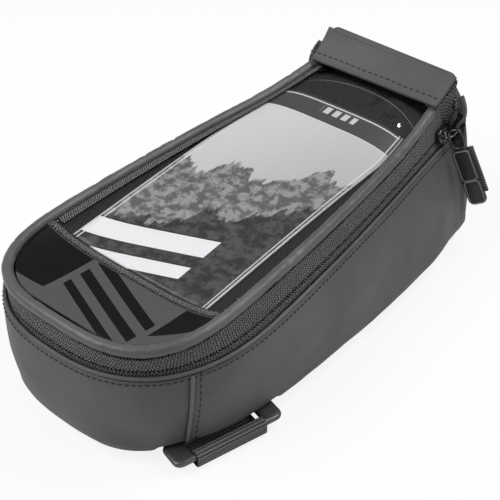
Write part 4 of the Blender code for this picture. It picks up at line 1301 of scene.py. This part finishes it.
def make_slider(metal, rubber, edge, webbing):
    """Slider with its bail, and the pull: a link, a moulded tab with a raised frame, and a webbing loop."""
    frame_here = slider_frame()
    top, edge_in = SLIDER_THICKNESS, 0.45 * MM
    outline = rounded_corners(SLIDER_WIDTH / 2, SLIDER_LENGTH / 2, 3 * MM, 8)
    layers = [(0.0, edge_in), (edge_in, 0.0)]
    layers += [(top - 0.6 * MM, 0.0), (top - 0.2 * MM, 0.3 * MM), (top, 0.9 * MM)]
    mesh = plate_mesh("slider_cover", outline, layers, frame_here)
    finish_piece(mesh, "slider", [metal], "slider_body")
    bail_z = SLIDER_THICKNESS + CLEARANCE + BAIL_RADIUS
    half = BAIL_LENGTH / 2
    feet = [frame_here @ Vector((0, y, bail_z - 0.8 * MM)) for y in (-half, half)]
    bail = []
    for step in range(25):
        angle = math.pi * step / 24
        height = bail_z + BAIL_HEIGHT * math.sin(angle) ** 0.6
        bail.append(frame_here @ Vector((0, -half * rounded_wave(math.cos(angle)), height)))
    mesh = tube_mesh("bail_cover", [feet[0], *bail, feet[1]], BAIL_RADIUS, 12)
    finish_piece(mesh, "slider", [metal], "slider_bail")

    down = Vector(PULL_DOWN).normalized()
    across = Vector(PULL_ACROSS)
    across = (across - down * across.dot(down)).normalized()
    hang = axes_matrix(across, -down, across.cross(-down))
    hang = Matrix.Translation(frame_here @ Vector((0, 0, bail_z + BAIL_HEIGHT))) @ hang
    middle = -LINK_LENGTH / 2 + BAIL_RADIUS + LINK_RADIUS + CLEARANCE
    outline = rounded_corners(LINK_HALF_WIDTH, LINK_LENGTH / 2, LINK_CORNER, 8)
    ring = [hang @ (point + Vector((0, middle, 0))) for point in outline]
    mesh = tube_mesh("link_cover", ring, LINK_RADIUS, closed=True)
    finish_piece(mesh, "pull_link", [metal], "pull_link")

    tab_top = middle - LINK_LENGTH / 2 - LINK_RADIUS - CLEARANCE
    half_length, half_width, half_thick = TAB_LENGTH / 2, TAB_WIDTH / 2, TAB_THICKNESS / 2
    tab_frame = hang @ Matrix.Translation((0, tab_top - half_length, 0))
    face = half_thick - 0.35 * MM
    outline = rounded_corners(half_width, half_length, 2.5 * MM, 8)
    layers = [(-half_thick, 0.5 * MM), (-half_thick + 0.4 * MM, 0.0)]
    layers += [(face - 0.2 * MM, 0.0), (face, 0.25 * MM)]
    finish_piece(plate_mesh("tab_cover", outline, layers, tab_frame), "tab", [rubber], "pull_tab")
    for label, centre, reach in (("upper", 0.42, 0.53), ("lower", -0.55, 0.40)):
        outline = rounded_corners(half_width - 0.75 * MM, half_length * reach, 1.5 * MM)
        points = [tab_frame @ (point + Vector((0, half_length * centre, face))) for point in outline]
        mesh = tube_mesh("tab_frame_" + label, points, 0.32 * MM, 8, closed=True)
        finish_piece(mesh, "tab", [edge], None)
    for step in range(4):
        y = half_length * (0.10 + 0.22 * step)
        points = [tab_frame @ Vector((x * MM, y, face)) for x in (-1.9, -0.9, 0.0, 0.9, 1.9)]
        finish_piece(tube_mesh("tab_rib_%d" % step, points, 0.3 * MM, 8), "tab", [rubber], None)

    behind = half_thick + CLEARANCE + WEBBING_THICKNESS / 2

    def loop(u, v):
        x = WEBBING_SHIFT + (2 * v - 1) * (WEBBING_WIDTH / 2 - 0.1 * MM)
        z = -behind + 0.1 * MM * math.sin(u * 8)
        return tab_frame @ Vector((x, half_length - WEBBING_LENGTH * u, z))

    shared = ("webbing", WEBBING_THICKNESS, 0.25 * MM)
    sheet_piece("pull_loop", loop, (40, 10), "tab", webbing, "pull_webbing", *shared)


# Camera, light and floor


def aimed(name, data, azimuth, elevation, target, distance):
    """An object that looks at the target from a direction in degrees."""
    a, e = math.radians(azimuth), math.radians(elevation)
    back = Vector((math.sin(a) * math.cos(e), -math.cos(a) * math.cos(e), math.sin(e)))
    made = new_object(name, data)
    made.location = target + back * distance
    made.rotation_euler = back.to_track_quat("Z", "Y").to_euler()
    return made


def make_camera():
    data = bpy.data.cameras.new("camera")
    data.sensor_width = 36
    data.lens = CAMERA_LENS
    data.clip_start = 0.01
    bpy.context.scene.camera = aimed(
        "camera", data, CAMERA_AZIMUTH, CAMERA_ELEVATION, CAMERA_TARGET + SHIFT, CAMERA_DISTANCE,
    )


def area_light(name, azimuth, elevation, size, power):
    """A soft box, placed by its direction from the bag's middle and turned to it."""
    data = bpy.data.lights.new(name, "AREA")
    data.shape = "RECTANGLE"
    data.size, data.size_y = size
    data.energy = power
    aimed(name, data, azimuth, elevation, LIGHT_TARGET, LIGHT_DISTANCE)


def make_studio():
    """White backdrop, as the camera and clear surfaces see it, and a white floor, under soft light."""
    world = bpy.data.worlds.new("studio")
    bpy.context.scene.world = world
    world.use_nodes = True
    tree = world.node_tree
    tree.nodes.clear()
    rays = add_node(tree, "ShaderNodeLightPath")
    inputs = {0: rays["Is Camera Ray"], 1: rays["Is Transmission Ray"]}
    seen = add_node(tree, "ShaderNodeMath", inputs, operation="MAXIMUM")[0]
    soft, white = [
        add_node(tree, "ShaderNodeBackground", {"Color": (1, 1, 1, 1), "Strength": strength})[0]
        for strength in (SOFT_LIGHT, 1.0)
    ]
    either = add_node(tree, "ShaderNodeMixShader", {0: seen, 1: soft, 2: white})[0]
    add_node(tree, "ShaderNodeOutputWorld", {0: either})

    corners = [(x, y, FLOOR_Z) for x, y in ((-3, -3), (3, -3), (3, 3), (-3, 3))]
    mesh = new_mesh("floor", corners, [(0, 1, 2, 3)])
    floor = new_object("floor", mesh)
    paper = bpy.data.materials.new("floor_paper")
    paper.use_nodes = True
    tree = paper.node_tree
    shader = tree.nodes["Principled BSDF"]
    shader.inputs["Base Color"].default_value = (0.9, 0.9, 0.9, 1)
    shader.inputs["Roughness"].default_value = 0.9
    shader.inputs["Specular IOR Level"].default_value = 0.0
    glow = add_node(tree, "ShaderNodeEmission")[0]
    rays = add_node(tree, "ShaderNodeLightPath")
    inputs = {0: rays["Is Camera Ray"], 1: FLOOR_GLOW}
    share = add_node(tree, "ShaderNodeMath", inputs, operation="MULTIPLY")[0]
    either = add_node(tree, "ShaderNodeMixShader", {0: share, 1: shader.outputs[0], 2: glow})[0]
    tree.links.new(either, tree.nodes["Material Output"].inputs["Surface"])
    mesh.materials.append(paper)
    area_light("key", -35, 50, (0.6, 0.45), 5.2)
    area_light("side", 115, 40, (0.5, 0.4), 1.6)
    area_light("back", 150, 60, (0.26, 0.18), 3.0)
    bpy.context.scene.view_settings.view_transform = "Standard"


make_camera()
make_studio()
WALL_CLOTH = coated_fabric("coated_fabric", 0.080, 0.55)
PIPING_CLOTH = coated_fabric("piping_fabric", 0.10, 0.40)
BINDING = coated_fabric("folded_edge", 0.095, 0.5)
TAPE_CLOTH = tape_fabric("zip_tape", 0.068)
WEBBING = webbing_fabric("strap_webbing", 0.10)
SLIDER_METAL = smooth_metal("slider_metal", 0.05, 0.2, 0.9, 0.6)
THREAD = thread("stitch_thread", 0.012)
STITCHES = row_tree("row_of_stitches", stitch_item)

make_walls(WALL_CLOTH, woven_fabric("inner_lining", 0.05, 1.1))
make_base(woven_fabric("base_cloth", 0.05, 1.3))
make_seams(PIPING_CLOTH, THREAD, STITCHES)
make_rim(BINDING, THREAD, STITCHES)
make_band(TAPE_CLOTH, moulded("zip_coil", 0.02, 0.35), row_tree("row_of_coil_turns", coil_item))
make_stops(SLIDER_METAL)
make_piping(PIPING_CLOTH)
make_lid(
    printed_front(), clear_film(), printed_card(), ribbed_mesh(), BINDING, TAPE_CLOTH,
    thread("window_thread", 0.16), STITCHES,
)
make_flap(WALL_CLOTH, THREAD, STITCHES)
make_straps(WEBBING, smooth_metal("ring_paint", 0.10, 0.36, 0.6))
make_stem_straps(WEBBING)
make_slider(SLIDER_METAL, moulded("pull_rubber", 0.012, 0.5), moulded("pull_rubber_edge", 0.16, 0.5), WEBBING)

stiffener = frame["nodes"]["base_stiffener"]
stiffener.data.materials.clear()
stiffener.data.materials.append(moulded("base_board", 0.03, 0.5))
